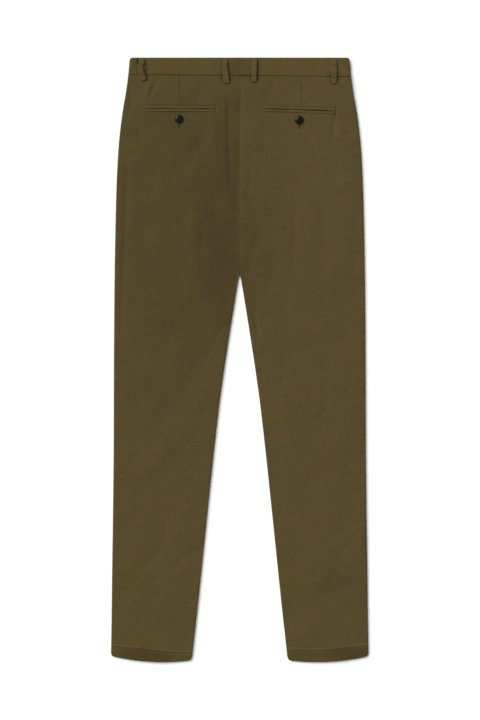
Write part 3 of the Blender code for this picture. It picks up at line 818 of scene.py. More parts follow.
def panel_plan(surface, facing, side, spacing, fine_inner):
    """Plan of a panel: a grid of places between its four edges, with columns close at them.

    Gives the places, as rows by columns by (x, y); how far each lies inside the inner and outer
    edges, the hem and the waist; and how far the inner and outer edges roll down, row by row."""
    low, high = surface.low, surface.high
    top = np.array((side * 0.10, high.y - 0.03))
    foot = np.array((side * 0.16, low.y + 0.03))
    inward = 12 * MM

    def corner(start, run_side, run_up):
        edge = surface.end(*start, run_side, 0)
        tip = surface.end(edge[0] - run_side * inward, start[1], 0, run_up)
        origin = (tip[0], tip[1] - run_up * inward)
        fan = [surface.end(*origin, run_side * math.cos(angle), run_up * math.sin(angle), far=0.05)
               for angle in np.linspace(0.15, 1.42, 90)]
        return max(fan, key=lambda place: run_side * place[0] + run_up * place[1])

    corners = {(u, v): corner(foot if v == 0 else top, side * (1 if u else -1), 1 if v else -1)
               for u in (0, 1) for v in (0, 1)}
    samples = np.linspace(0, 1, 260)

    def edge_along(u):
        ys = corners[u, 0][1] + (corners[u, 1][1] - corners[u, 0][1]) * samples
        points = [corners[u, 0]]
        for y in ys[1:-1]:
            middle = foot[0] + (top[0] - foot[0]) * (y - low.y) / (high.y - low.y)
            points.append(surface.end(middle, y, side * (1 if u else -1), 0))
        return np.array(points + [corners[u, 1]])

    def edge_across(v):
        xs = corners[0, v][0] + (corners[1, v][0] - corners[0, v][0]) * samples[::3]
        points = [corners[0, v]]
        for x in xs[1:-1]:
            points.append(surface.end(x, (foot if v == 0 else top)[1], 0, 1 if v else -1))
        return np.array(points + [corners[1, v]])

    edges_along = [edge_along(0), edge_along(1)]
    edges_across = [edge_across(0), edge_across(1)]

    def on(points, share):
        places = np.linspace(0, 1, len(points))
        return np.stack([np.interp(share, places, points[:, a]) for a in (0, 1)], -1)

    hem_rows = [k * 0.25 * HEM_ROLL for k in range(5)]
    hem_rows += [1.6 * MM + k * 1.35 * MM for k in range(19)]
    waist_rows = [k * 0.25 * WAIST_ROLL for k in range(5)]
    shares_v = spaced(high.y - low.y, spacing, hem_rows, waist_rows)
    inner, outer = on(edges_along[0], shares_v), on(edges_along[1], shares_v)
    width = np.hypot(*(outer - inner).T)

    rolls = []
    for edge in (inner, outer):
        run = side * (1 if edge is inner else -1)
        found = []
        for x, y in edge:
            y = min(max(y, low.y + EDGE_INSET), high.y - 3 * EDGE_INSET)
            flat = surface.height(x + run * EDGE_INSET, y, facing)
            lip = surface.height(x + run * 0.05 * MM, y, facing)
            known = flat is not None and lip is not None
            found.append(abs(flat - lip) if known else SEAM_ROLL)
        rolls.append(np.maximum(blurred(np.array(found)[:, None], 0, 14)[:, 0], SEAM_ROLL))
    drops = drop_of(inner[:, 1])
    seat = 1 - smooth(FORK_DROP - 5 * MM, FORK_DROP, drops)
    centre_roll = SEAM_ROLL * (1 - 0.7 * smooth(0.19, 0.27, drops))
    rolls[0] = rolls[0] * (1 - seat) + centre_roll * seat

    theta = np.linspace(0, math.pi / 2, ARC_STEPS + 1)
    run_in = 1 - np.cos(theta)
    widest = int(round(width.max() / spacing))
    rows_u = []
    for k, total in enumerate(width):
        start = max(rolls[0][k], SEAM_ROLL_WIDTH) * run_in
        start = np.concatenate((start, start[-1] + fine_inner))
        stop = total - max(rolls[1][k], SEAM_ROLL_WIDTH) * run_in[::-1]
        middle = np.linspace(start[-1], stop[0], widest)[1:-1]
        rows_u.append(np.concatenate((start, middle, stop)) / total)
    u = np.array(rows_u)
    v = np.repeat(shares_v[:, None], u.shape[1], 1)

    across_low, across_high = on(edges_across[0], u), on(edges_across[1], u)
    corner_mix = sum(((u if right else 1 - u) * (v if upper else 1 - v))[..., None] * place
                     for (right, upper), place in corners.items())
    plan = ((1 - v)[..., None] * across_low + v[..., None] * across_high
            + (1 - u)[..., None] * inner[:, None] + u[..., None] * outer[:, None] - corner_mix)
    length = high.y - low.y
    insets = (u * width[:, None], (1 - u) * width[:, None], v * length, (1 - v) * length)
    return plan, insets, rolls


def panel(name, node, facing, spacing, creases, seed, crease_share):
    """A leg panel: a thin shell on its packed form, with rolled seams, creases and puckers."""
    surface = Surface(node)
    side = 1 if surface.low.x + surface.high.x > 0 else -1
    fine_inner = np.array([1.2, 2.4, 3.7, 5.1, 6.8]) * MM if facing == UP else np.array([])
    plan, insets, rolls = panel_plan(surface, facing, side, spacing, fine_inner)
    inset_in, inset_out, inset_hem, inset_waist = insets
    rows, columns = plan.shape[:2]

    level = np.full((rows, columns), np.nan)
    for r in range(rows):
        for c in range(columns):
            x, y = plan[r, c]
            x += side * (max(0.0, EDGE_INSET - inset_in[r, c])
                         - max(0.0, EDGE_INSET - inset_out[r, c]))
            y += max(0.0, END_INSET - inset_hem[r, c]) - max(0.0, END_INSET - inset_waist[r, c])
            found = surface.height(x, y, facing)
            if found is not None:
                level[r, c] = facing * found
    for row in level:
        known = ~np.isnan(row)
        row[~known] = np.interp(np.nonzero(~known)[0], np.nonzero(known)[0], row[known])
    rounds = max(2, int(round((HEIGHT_SOFTENING / spacing) ** 2 / 2)))
    level = blurred(level, rounds, rounds)

    x, drop = plan[..., 0].ravel(), drop_of(plan[..., 1]).ravel()
    turned = np.minimum(inset_in + 1e3 * (rolls[0] <= SEAM_ROLL * 1.2)[:, None], inset_out).ravel()
    calm = smooth(0, EDGE_INSET * 0.7, turned) * smooth(0, EDGE_INSET, inset_waist.ravel())
    soft = crease_heights(creases, x, drop) * crease_share
    uneven = ripple_heights(x, drop, seed) * smooth(0, 25 * MM, inset_waist.ravel())
    if facing == DOWN:
        uneven = -np.abs(uneven) * 0.6
    level += ((soft + uneven) * calm).reshape(level.shape)
    puckers = seam_puckers(drop, inset_in.ravel(), inset_out.ravel(), seed, side)
    level += puckers.reshape(level.shape) * facing
    if facing == UP:
        level = np.maximum(level, DEEPEST)

    for edge_inset, roll in ((inset_in, rolls[0]), (inset_out, rolls[1])):
        reach = np.maximum(roll, SEAM_ROLL_WIDTH)[:, None]
        level -= roll[:, None] * fallen(np.clip(1 - edge_inset / reach, 0, 1))
    level -= HEM_ROLL * fallen(np.clip(1 - inset_hem / HEM_ROLL, 0, 1))
    share = np.clip(1 - inset_waist / WAIST_ROLL, 0, 1)
    level -= (WAIST_DIP if facing == UP else WAIST_ROLL * 0.7) * fallen(share)
    if facing == UP:
        plan[..., 1] += WAIST_TUCK * share ** 3
        closing = SEAM_CLOSING * bell(inset_in, SEAM_ROLL_WIDTH)
        plan[..., 0] -= side * closing * (1 - smooth(FORK_DROP - 30 * MM, FORK_DROP - 5 * MM,
                                                     drop_of(plan[..., 1])))
        plan[..., 0] += centre_drift(plan[..., 0], drop_of(plan[..., 1]))

    points = np.concatenate((plan.reshape(-1, 2), facing * level.reshape(-1, 1)), 1)
    return mesh_piece(name, points, grid_faces(rows, columns))


def centre_drift(x, drop):
    """How far the centre back seam wanders to +X, and the cloth beside it."""
    wander = 1.4 * MM * bell(drop - 0.060, 0.035) - 1.5 * MM * bell(drop - 0.270, 0.075)
    return wander * bell(x, 0.022) * (1 - smooth(FORK_DROP - 30 * MM, FORK_DROP, drop))


def fallen(share):
    """How far a rounded edge has fallen, from 0 to 1, at a share of its roll."""
    return 1 - np.sqrt(np.clip(1 - share ** 2, 0, 1))


def seam_puckers(drop, inset_in, inset_out, seed, side):
    """Short ripples that run in from the side seam and the inseam."""
    total = np.zeros(len(drop))
    for inset, seam in ((inset_in, 0), (inset_out, side)):
        rng = np.random.RandomState(seed + 50 + 7 * seam)
        strength = np.zeros(len(drop))
        for _ in range(5):
            length = rng.uniform(9, 30) * MM
            phase = rng.uniform(0, 2 * math.pi)
            strength += np.sin(drop * 2 * math.pi / length + phase)
        total += strength * PUCKER_HEIGHT * bell(inset, PUCKER_REACH)
    return total


def refine_sewn_lines(piece):
    """Divides the cloth finely round its sewn lines, where the grid is too coarse for them."""
    select_only(piece)
    bpy.ops.object.mode_set(mode="EDIT")
    centres = np.array([face.center for face in piece.data.polygons])
    near = np.zeros(len(centres), bool)
    for line in SEWN_LINES:
        aside, along, length = sewn_place(line, centres[:, 0], drop_of(centres[:, 1]))
        margin = SEWN_MARGIN / length
        near |= (np.abs(aside) < SEWN_MARGIN) & (along > -margin) & (along < 1 + margin)
    near |= np.abs(below_hem_edge(centres[:, 0], drop_of(centres[:, 1]))) < HEM_MARGIN
    select_faces(piece, lambda face: near[face.index])
    bpy.ops.mesh.subdivide(number_cuts=3)
    bpy.ops.object.mode_set(mode="OBJECT")


def painted_hem_and_waist_tone(x, drop):
    """The painted highlight over the hem's ridge, the painted shade beside it, and the painted
    shade at the waist seam.
    """
    below = below_hem_edge(x, drop)
    dark = by_hem(x, "dark") * np.where(x < 0, 1, bell(x - HEM_DARK_AT, HEM_DARK_REACH))
    tone = (HEM_PAINTED_HIGHLIGHT * bell(below - by_hem(x, "light_line"), 1.1 * MM)
            - dark * bell(below - by_hem(x, "dark_line"), 1.0 * MM))
    below_waist = drop - WAIST_DROP - WAIST_FALL * x
    return tone - WAIST_PAINTED_SHADE * (1 - smooth(0, WAIST_PAINTED_SHADE_DEPTH, below_waist))


def sink_sewn_lines(piece):
    """Sinks the sewn lines into the cloth, and paints the highlight and shade along its hems and
    the shade at its waist seam.
    """
    points = np.empty(len(piece.data.vertices) * 3)
    piece.data.vertices.foreach_get("co", points)
    points = points.reshape(-1, 3)
    x, drop = points[:, 0], drop_of(points[:, 1])
    points[:, 2] += sewn_heights(x, drop) + hem_heights(x, drop)
    piece.data.vertices.foreach_set("co", points.ravel())
    tone = piece.data.attributes.new(PAINTED_TONE_ATTRIBUTE, "FLOAT", "POINT")
    tone.data.foreach_set("value", painted_hem_and_waist_tone(x, drop))
    piece.data.update()


def cut_mouth(piece, mouth):
    """Opens the cloth behind the welts of a back pocket."""
    select_only(piece)
    bpy.ops.object.mode_set(mode="EDIT")

    def behind_welts(face):
        centre = face.calc_center_median()
        aside, along, _ = sewn_place(mouth, centre.x, drop_of(centre.y))
        return abs(aside) < MOUTH_CUT and MOUTH_END < along < 1 - MOUTH_END

    select_faces(piece, behind_welts)
    bpy.ops.mesh.delete(type="FACE")
    bpy.ops.object.mode_set(mode="OBJECT")


def finish_shell(piece, facing, wall):
    """Turns the faces outward and gives the cloth its thickness, inward."""
    face_outward(piece)
    if sum(polygon.normal.z * polygon.area for polygon in piece.data.polygons) * facing < 0:
        piece.data.flip_normals()
    apply_modifier(piece, "SOLIDIFY", thickness=wall, offset=-1, use_rim=True)


class TROUSERS_OT_panels(bpy.types.Operator):
    """Builds the four leg panels, with their creases, darts and pocket openings"""
    bl_idname = "trousers.panels"
    bl_label = "Leg panels"

    def execute(self, context):
        settings = context.scene.trousers_cloth
        for seed, (name, side) in enumerate((("left", -1), ("right", 1))):
            grain = side * GRAIN_TURN
            back = panel(f"back_{name}_cloth", f"back_{name}", UP, BACK_SPACING, BACK_CREASES,
                         BACK_SEED, settings.crease_share)
            refine_sewn_lines(back)
            sink_sewn_lines(back)
            cut_mouth(back, MOUTHS[name])
            finish_shell(back, UP, CLOTH_WALL)
            dress(back, cloth_material(f"cloth_back_{name}", settings, grain, 1.0 + seed,
                                       shades=SHADES + PAINTED_LOOP_SHADOWS), "cloth", f"back_{name}")
            front = panel(f"front_{name}_cloth", f"front_{name}", DOWN, FRONT_SPACING,
                          FRONT_CREASES, FRONT_SEED, settings.crease_share)
            finish_shell(front, DOWN, CLOTH_WALL)
            dress(front, cloth_material(f"cloth_front_{name}", settings, grain, 5.0 + seed),
                  "cloth", f"front_{name}")
        return {"FINISHED"}


# ---------------------------------------------------------------- waistband
def waistband(name, node, side):
    """Half of the waistband: a folded strip from the centre back round the side to the front."""
    surface = Surface(node)
    middle_x = side * 0.12
    inner_x = side * (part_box("back_right")[0].x - SEAM_CLOSING)
    past_x = surface.low.x if side > 0 else surface.high.x
    edge_rows = [0.0, 0.3 * MM, 0.65 * MM, 1.0 * MM, 1.4 * MM]
    shares = spaced(BAND_DEPTH, 2.0 * MM, edge_rows, edge_rows)
    side_low = band_low(surface, surface.end(middle_x, TOP_Y - 15 * MM, side, 0)[0])
    rows = []
    for share in shares:
        y = side_low + (TOP_Y - side_low) * share
        y = min(max(y, side_low + 0.3 * MM), TOP_Y - 0.3 * MM)
        side_x = surface.end(middle_x, y, side, 0)[0]
        near = side_x - side * 8 * MM
        top, under = surface.height(near, y, UP), surface.height(near, y, DOWN)
        radius, middle = (top - under) / 2, (top + under) / 2
        turn_x = side_x - side * radius
        row = [(x, band_height(surface, x, share, UP, inner_x, side), UP)
               for x in np.linspace(inner_x, turn_x, BAND_COLUMNS)]
        for angle in np.linspace(0, math.pi, 9)[1:-1]:
            row.append((turn_x + side * radius * math.sin(angle),
                        middle + radius * math.cos(angle), 0))
        row += [(x, band_height(surface, x, share, DOWN, past_x, -side), DOWN)
                for x in np.linspace(turn_x, past_x, BAND_COLUMNS + 10)]
        rows.append(row)
    x = np.array([[place[0] for place in row] for row in rows])
    z = blurred(np.array([[place[1] for place in row] for row in rows]), 6, 0)
    low = np.array([band_low(surface, place[0]) for place in rows[0]])
    y = low + (TOP_Y - low) * shares[:, None]
    seen = np.array([place[2] == UP for place in rows[0]])
    z += band_waves(x, y, side) * seen
    z -= BAND_ROLL * 0.7 * fallen(np.clip(1 - (y - low) / BAND_ROLL, 0, 1)) * seen
    points = np.stack((x, y, z), -1).reshape(-1, 3)
    return mesh_piece(name, points, grid_faces(*x.shape))


def band_height(surface, x, share, facing, end_x, inward):
    """Height of the band at x and a share of its depth, taken just inside its edges."""
    if (x - end_x) * inward < END_INSET:
        x = end_x + inward * END_INSET
    low = band_low(surface, x)
    y = min(max(low + (TOP_Y - low) * share, low + END_INSET), TOP_Y - END_INSET)
    found = surface.height(x, y, facing)
    if found is None:
        found = surface.height(x - math.copysign(4 * MM, x), low + (TOP_Y - low) / 2, facing)
    return found


def band_low(surface, x):
    """y of the waist seam at x, which falls towards the wearer's right."""
    edge = 1.5 * MM
    x = min(max(x, surface.low.x + edge), surface.high.x - edge)
    return surface.end(x, TOP_Y - 15 * MM, 0, -1, far=0.03, facing=DOWN)[1]


def band_waves(x, y, side):
    """Slight waves of the waistband, as it lies."""
    waves = np.zeros(x.shape)
    for length, height, phase, lean in ((0.085, 0.22, 0.4, 0.3), (0.041, 0.12, 2.0, -0.5),
                                        (0.023, 0.06, 4.1, 0.6), (0.060, 0.10, 1.1, 1.5)):
        waves += height * MM * np.sin((x + lean * y) * 2 * math.pi / length + phase + side)
    calm = smooth(0, 4 * MM, y - y.min()) * smooth(0, 4 * MM, y.max() - y)
    return waves * (0.35 + 0.65 * calm)


class TROUSERS_OT_waistband(bpy.types.Operator):
    """Builds the two halves of the waistband"""
    bl_idname = "trousers.waistband"
    bl_label = "Waistband"

    def execute(self, context):
        settings = context.scene.trousers_cloth
        for seed, (name, side) in enumerate((("left", -1), ("right", 1))):
            node = f"waistband_{name}"
            piece = waistband(f"{node}_cloth", node, side)
            finish_band(piece)
            material = cloth_material(f"cloth_{node}", settings, math.pi / 2, 9.0 + seed, 1.06,
                                      SHADES + PAINTED_LOOP_SHADOWS, shaded_above=5 * MM)
            dress(piece, material, "cloth", node)
        return {"FINISHED"}


def finish_band(piece):
    """Turns the band's faces outward, gives it its thickness and rounds its edges."""
    face_outward(piece)
    top = [p for p in piece.data.polygons if p.center.z > 5.5 * MM]
    if sum(p.normal.z * p.area for p in top) < 0:
        piece.data.flip_normals()
    apply_modifier(piece, "SOLIDIFY", thickness=BAND_WALL, offset=-1, use_rim=True)
    apply_modifier(piece, "BEVEL", width=0.55 * MM, segments=3, limit_method="ANGLE",
                   angle_limit=math.radians(55), harden_normals=False)


# ---------------------------------------------------------------- strips
ROUND_POINTS = 20
SQUARENESS = 3.2            # of a strip's section; 2 is an ellipse


def strip(name, node, lengthways, spacing, lay=None):
    """A soft-edged strip on the form of a packed one.

    lengthways is "x" or "y". lay(place, low, high) gives (roll, lift, low, high) at a place along
    the strip: the turn of its section, its lift, and where its two long edges lie."""
    surface = Surface(node)
    axis = 0 if lengthways == "x" else 1
    low, high = surface.low[axis], surface.high[axis]
    inside = 0.5 * MM
    end_rows = [0.0, 0.15 * MM, 0.4 * MM, 0.8 * MM]
    shares = spaced(high - low, spacing, end_rows, end_rows)
    across = (surface.low[1 - axis] + surface.high[1 - axis]) / 2
    across = strip_start(surface, axis, low + inside, across)
    run = (0, 1) if axis == 0 else (1, 0)
    sections = []
    for share in shares:
        place = min(max(low + (high - low) * share, low + inside), high - inside)
        here = (place, across) if axis == 0 else (across, place)
        edges = [surface.end(*here, way * run[0], way * run[1], far=0.03)[1 - axis]
                 for way in (-1, 1)]
        across = sum(edges) / 2
        here = (place, across) if axis == 0 else (across, place)
        sections.append((low + (high - low) * share, *edges,
                         surface.height(*here, DOWN), surface.height(*here, UP)))
    sections = np.array(sections)
    sections[:, 1:] = blurred(sections[:, 1:], 0, 3)
    points = []
    for place, low_edge, high_edge, under, top in sections:
        roll, lift = 0.0, 0.0
        if lay:
            roll, lift, low_edge, high_edge = lay(place, low_edge, high_edge)
        half, thick = (high_edge - low_edge) / 2, (top - under) / 2
        end = max(0.0, min(place - low, high - place))
        fullness = 0.35 + 0.65 * math.sqrt(1 - (1 - min(1.0, end / (0.8 * MM))) ** 2)
        for k in range(ROUND_POINTS):
            angle = 2 * math.pi * k / ROUND_POINTS
            u = math.copysign(abs(math.cos(angle)) ** (2 / SQUARENESS), math.cos(angle)) * half
            w = math.copysign(abs(math.sin(angle)) ** (2 / SQUARENESS), math.sin(angle)) * thick
            w *= fullness
            u, w = u * math.cos(roll) - w * math.sin(roll), u * math.sin(roll) + w * math.cos(roll)
            aside, z = (low_edge + high_edge) / 2 + u, (top + under) / 2 + lift + w
            points.append((place, aside, z) if axis == 0 else (aside, place, z))
    faces = grid_faces(len(shares), ROUND_POINTS, closed=True)
    faces.append(tuple(range(ROUND_POINTS)))
    last = (len(shares) - 1) * ROUND_POINTS
    faces.append(tuple(range(last + ROUND_POINTS - 1, last - 1, -1)))
    piece = mesh_piece(name, points, faces)
    face_outward(piece)
    return piece


def strip_start(surface, axis, place, across):
    """A place on the strip at its low end, searched outward from the middle of its box."""
    reach = surface.high[1 - axis] - surface.low[1 - axis]
    for k in range(200):
        offset = (k + 1) // 2 * (1 if k % 2 else -1) * reach / 200
        here = (place, across + offset) if axis == 0 else (across + offset, place)
        if surface.height(*here) is not None:
            return across + offset
    raise RuntimeError("the strip wasn't found in its own box")


class TROUSERS_OT_belt_loops(bpy.types.Operator):
    """Builds the six belt loops, each turned and waved as it lies"""
    bl_idname = "trousers.belt_loops"
    bl_label = "Belt loops"

    def execute(self, context):
        settings = context.scene.trousers_cloth
        material = cloth_material("cloth_belt_loops", settings, 0.0, 21.0, 1.06)
        for node, turn in LOOP_TURNS.items():
            def lay(y, low, high, node=node, turn=turn):
                share = drop_of(y) / LOOP_LENGTH
                free = math.sin(math.pi * min(1.0, max(0.0, 1.05 - share)))
                roll = math.radians(turn.roll_top + (turn.roll_low - turn.roll_top) * share) * free
                wave = turn.wave * math.sin(2 * math.pi * share * 1.3) ** 2 * free
                edges = LOOP_EDGES.get(node)
                if edges:
                    drops = [edge.drop for edge in edges]
                    low = eased(drop_of(y), drops, [edge.low for edge in edges])
                    high = eased(drop_of(y), drops, [edge.high for edge in edges])
                return roll, wave, low, high

            piece = strip(f"{node}_cloth", node, "y", 1.1 * MM, lay)
            dress(piece, material, "cloth", node)
        return {"FINISHED"}


class TROUSERS_OT_back_pockets(bpy.types.Operator):
    """Builds the welts of the back pockets; the grooves at their ends are sunk into the leg panels
    """
    bl_idname = "trousers.back_pockets"
    bl_label = "Back pockets"

    def execute(self, context):
        settings = context.scene.trousers_cloth
        material = cloth_material("cloth_welts", settings, math.pi / 2, 25.0, 1.05)
        for name, mouth in MOUTHS.items():
            def gape(x, mouth=mouth):
                inner = (x - mouth.x) / (mouth.to_x - mouth.x)
                inner = 1 - inner if mouth.x < 0 else inner
                return (mouth.gape_inner * bell(inner - 0.20, 0.17)
                        + mouth.gape_outer * bell(inner - 0.76, 0.19))

            for level in ("upper", "lower"):
                def lay(x, low, high, level=level, gape=gape):
                    if level == "upper":
                        return 0, 0, low + gape(x), high
                    return 0, 0, low, high - gape(x)

                node = f"pocket_welt_{level}_{name}"
                piece = strip(f"{node}_cloth", node, "x", 1.6 * MM, lay)
                dress(piece, material, "cloth", node)
        return {"FINISHED"}


class TROUSERS_OT_side_pockets(bpy.types.Operator):
    """Builds the stitched edges of the slanted front pockets"""
    bl_idname = "trousers.side_pockets"
    bl_label = "Side pockets"

    def execute(self, context):
        settings = context.scene.trousers_cloth
        for seed, name in enumerate(("left", "right")):
            node = f"side_pocket_edge_{name}"
            piece = strip(f"{node}_cloth", node, "y", 2.2 * MM)
            material = cloth_material(f"cloth_{node}", settings, 0.35, 27.0 + seed)
            dress(piece, material, "cloth", node)
        return {"FINISHED"}


# ---------------------------------------------------------------- buttons
RIM_SHARE = 0.62            # height of a button's rim, as a share of its thickness
HOLE_REACH = 0.24           # of its holes from its centre, each way, as a share of its radius
# Inset and rise of each ring of its face, as shares of radius and thickness.
DOME_STEPS = ((0.06, 0.05), (0.24, 0.03), (0.10, 0.13), (0.10, 0.12), (0.06, 0.03), (0.06, 0.0),
              (0.06, -0.04))


def button(node, facing, settings):
    """A four-hole button with a domed face and a shallow dish round its holes."""
    low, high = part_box(node)
    centre = (low + high) / 2
    radius, thickness = (high.x - low.x) / 2, high.z - low.z
    bpy.ops.object.select_all(action="DESELECT")
    rim = RIM_SHARE * thickness
    bpy.ops.mesh.primitive_cylinder_add(
        vertices=64, radius=radius, depth=rim,
        location=centre - Vector((0, 0, facing * (thickness - rim) / 2)))
    piece = bpy.context.active_object
    piece.name = f"{node}_horn"
    bpy.ops.object.transform_apply(location=True, rotation=True, scale=True)
    bpy.ops.object.mode_set(mode="EDIT")
    select_faces(piece, lambda face: face.normal.z * facing > 0.9)
    for inset, rise in DOME_STEPS:
        bpy.ops.mesh.inset(thickness=inset * radius)
        bpy.ops.transform.translate(value=(0, 0, facing * rise * thickness))
    bpy.ops.object.mode_set(mode="OBJECT")
    apply_modifier(piece, "BEVEL", width=0.12 * thickness, segments=4, limit_method="ANGLE",
                   angle_limit=math.radians(28), harden_normals=False)
    for x, y in hole_places(radius):
        bpy.ops.object.select_all(action="DESELECT")
        bpy.ops.mesh.primitive_cylinder_add(
            vertices=20, radius=settings.hole_radius, depth=3 * thickness,
            location=(centre.x + x, centre.y + y, centre.z))
        drill = bpy.context.active_object
        apply_modifier(piece, "BOOLEAN", object=drill, operation="DIFFERENCE")
        bpy.data.objects.remove(drill)
    return piece, centre, radius, thickness


def select_faces(piece, wanted):
    """In edit mode, selects only the faces that a test wants."""
    bpy.ops.mesh.select_mode(type="FACE")
    bpy.ops.mesh.select_all(action="DESELECT")
    mesh = bmesh.from_edit_mesh(piece.data)
    for face in mesh.faces:
        face.select_set(bool(wanted(face)))
    bmesh.update_edit_mesh(piece.data)


def hole_places(radius):
    """Places of a button's four holes from its centre."""
    reach = HOLE_REACH * radius
    return [(a * reach, b * reach) for a in (-1, 1) for b in (-1, 1)]


def stitches(name, runs, radius, material):
    """Short rounded stitches, each along its own run, as one mesh."""
    bpy.ops.object.select_all(action="DESELECT")
    bpy.ops.mesh.primitive_uv_sphere_add(segments=8, ring_count=6, radius=1)
    model = bpy.context.active_object
    shape = np.array([v.co for v in model.data.vertices])
    faces = [tuple(p.vertices) for p in model.data.polygons]
    bpy.data.objects.remove(model)
    points, all_faces = [], []
    for start, end in runs:
        start, end = Vector(start), Vector(end)
        run = end - start
        turn = np.array(run.to_track_quat("Z", "Y").to_matrix())
        body = shape * (radius, radius, run.length / 2 + radius * 0.6)
        half = run.length / 2 + radius * 0.5
        body[:, 2] = np.clip(body[:, 2], -half, half)
        placed = body @ turn.T + np.array((start + end) / 2)
        all_faces += [tuple(i + len(points) for i in face) for face in faces]
        points += list(placed)
    piece = mesh_piece(name, points, all_faces)
    dress(piece, material, "cloth")
    return piece


class TROUSERS_OT_buttons(bpy.types.Operator):
    """Builds the three horn buttons and the thread that holds them"""
    bl_idname = "trousers.buttons"
    bl_label = "Buttons"

    def execute(self, context):
        settings = context.scene.trousers_trim
        horn = horn_material("dark_horn", settings)
        thread = thread_material("button_thread", settings.button_thread)
        for node, facing in (("pocket_button_left", UP), ("pocket_button_right", UP),
                             ("waist_button", DOWN)):
            piece, centre, radius, thickness = button(node, facing, settings)
            dress(piece, horn, "button", node)
            runs = []
            reach = HOLE_REACH * radius
            face_z = centre.z + facing * 0.42 * thickness
            for side in (-1, 1):
                for k in (-1, 0, 1):
                    x = centre.x + side * reach + k * 0.28 * MM
                    z = face_z + facing * (0.12 * MM if k == 0 else 0)
                    runs.append(((x, centre.y - reach, z), (x, centre.y + reach, z)))
                for end in (-1, 1):
                    x, y = centre.x + side * reach, centre.y + end * reach
                    runs.append(((x, y, face_z), (x, y, centre.z - facing * 0.45 * thickness)))
            sewn = stitches(f"{node}_thread", runs, 0.20 * MM, thread)
        return {"FINISHED"}


# ---------------------------------------------------------------- sewing
def dressed_height(x, y, facing, pieces):
    """Height of the dressed cloth at a place, seen from above or from below."""
    found = []
    for name in pieces:
        start = Vector((x, y, facing * 0.1))
        hit, place, _, _ = bpy.data.objects[name].ray_cast(start, Vector((0, 0, -facing)))
        if hit:
            found.append(facing * place.z)
    return facing * max(found)


def buttonhole(name, start, end, facing, pieces, material):
    """A worked buttonhole: purl stitches on both sides of its slit, and a bar at its end."""
    start, end = np.array(start), np.array(end)
    length = np.hypot(*(end - start))
    run = (end - start) / length
    side = np.array((-run[1], run[0]))
    count = int(length / PURL_PITCH)
    runs = []
    for k in range(count + 1):
        here = start + run * length * k / count
        z = dressed_height(*here, facing, pieces)
        for way in (-1, 1):
            near, far = here + side * way * 0.22 * MM, here + side * way * BUTTONHOLE_WIDTH / 2
            runs.append(((*near, z), (*far, z)))
    z = dressed_height(*end, facing, pieces)
    for k in range(5):
        here = end + run * (0.1 + 0.3 * k) * MM
        low, high = here - side * 1.1 * MM, here + side * 1.1 * MM
        runs.append(((*low, z), (*high, z)))
    stitches(name, runs, 0.21 * MM, material)


class TROUSERS_OT_buttonholes(bpy.types.Operator):
    """Sews the buttonholes of the back pockets and of the waistband's tab"""
    bl_idname = "trousers.buttonholes"
    bl_label = "Buttonholes"

    def execute(self, context):
        thread = thread_material("buttonhole_thread", context.scene.trousers_trim.thread)
        for name in ("left", "right"):
            low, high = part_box(f"pocket_button_{name}")
            x, y = (low.x + high.x) / 2, (low.y + high.y) / 2
            buttonhole(f"buttonhole_{name}", (x, y + BUTTONHOLE_TOP), (x, y - BUTTONHOLE_LOW), UP,
                       [f"back_{name}_cloth"], thread)
        low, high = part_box("waist_button")
        x, y = (low.x + high.x) / 2, (low.y + high.y) / 2
        buttonhole("buttonhole_waist", (x + 2 * MM, y), (x - 15 * MM, y), DOWN,
                   ["waistband_left_cloth"], thread)
        return {"FINISHED"}


def stitched_line(line, facing, pieces, lift=0.04 * MM):
    """Stitches along a line of places on the cloth."""
    line = np.array(line)
    steps = np.hypot(*np.diff(line, axis=0).T)
    travelled = np.concatenate(([0], np.cumsum(steps)))
    count = int(travelled[-1] / STITCH_PITCH)
    runs = []
    for k in range(count):
        ends = []
        for at in (k * STITCH_PITCH, k * STITCH_PITCH + STITCH_LENGTH):
            here = [np.interp(at, travelled, line[:, a]) for a in (0, 1)]
            ends.append((*here, dressed_height(*here, facing, pieces) + facing * lift))
        runs.append(tuple(ends))
    return runs


class TROUSERS_OT_topstitching(bpy.types.Operator):
    """Sews the fly's stitched bend and the line beside each front pocket, on the under side"""
    bl_idname = "trousers.topstitching"
    bl_label = "Topstitching"

    def execute(self, context):
        material = thread_material("seam_thread", context.scene.trousers_trim.seam_thread)
        bend_drop = FLY_STITCH_END - FLY_BEND_HEIGHT
        fly = [(FLY_STITCH_X, TOP_Y - drop) for drop in np.linspace(0.036, bend_drop, 30)]
        for angle in np.linspace(0, math.pi / 2, 14)[1:]:
            fly.append((FLY_STITCH_X - FLY_BEND_WIDTH * (1 - math.cos(angle)),
                        TOP_Y - bend_drop - FLY_BEND_HEIGHT * math.sin(angle)))
        runs = stitched_line([(-x, y) for x, y in fly], DOWN, ["front_left_cloth"])
        stitches("fly_stitching", runs, STITCH_RADIUS, material)
        for name, side in (("left", -1), ("right", 1)):
            low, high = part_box(f"side_pocket_edge_{name}")
            inner = [(side * (min(abs(low.x), abs(high.x)) - 1.5 * MM), high.y - 2 * MM),
                     (side * (max(abs(low.x), abs(high.x)) - 11.5 * MM), low.y + 4 * MM)]
            line = np.linspace(*inner, 40)
            runs = stitched_line(line, DOWN,
                                 [f"front_{name}_cloth", f"side_pocket_edge_{name}_cloth"])
            stitches(f"side_pocket_stitching_{name}", runs, STITCH_RADIUS, material)
        return {"FINISHED"}


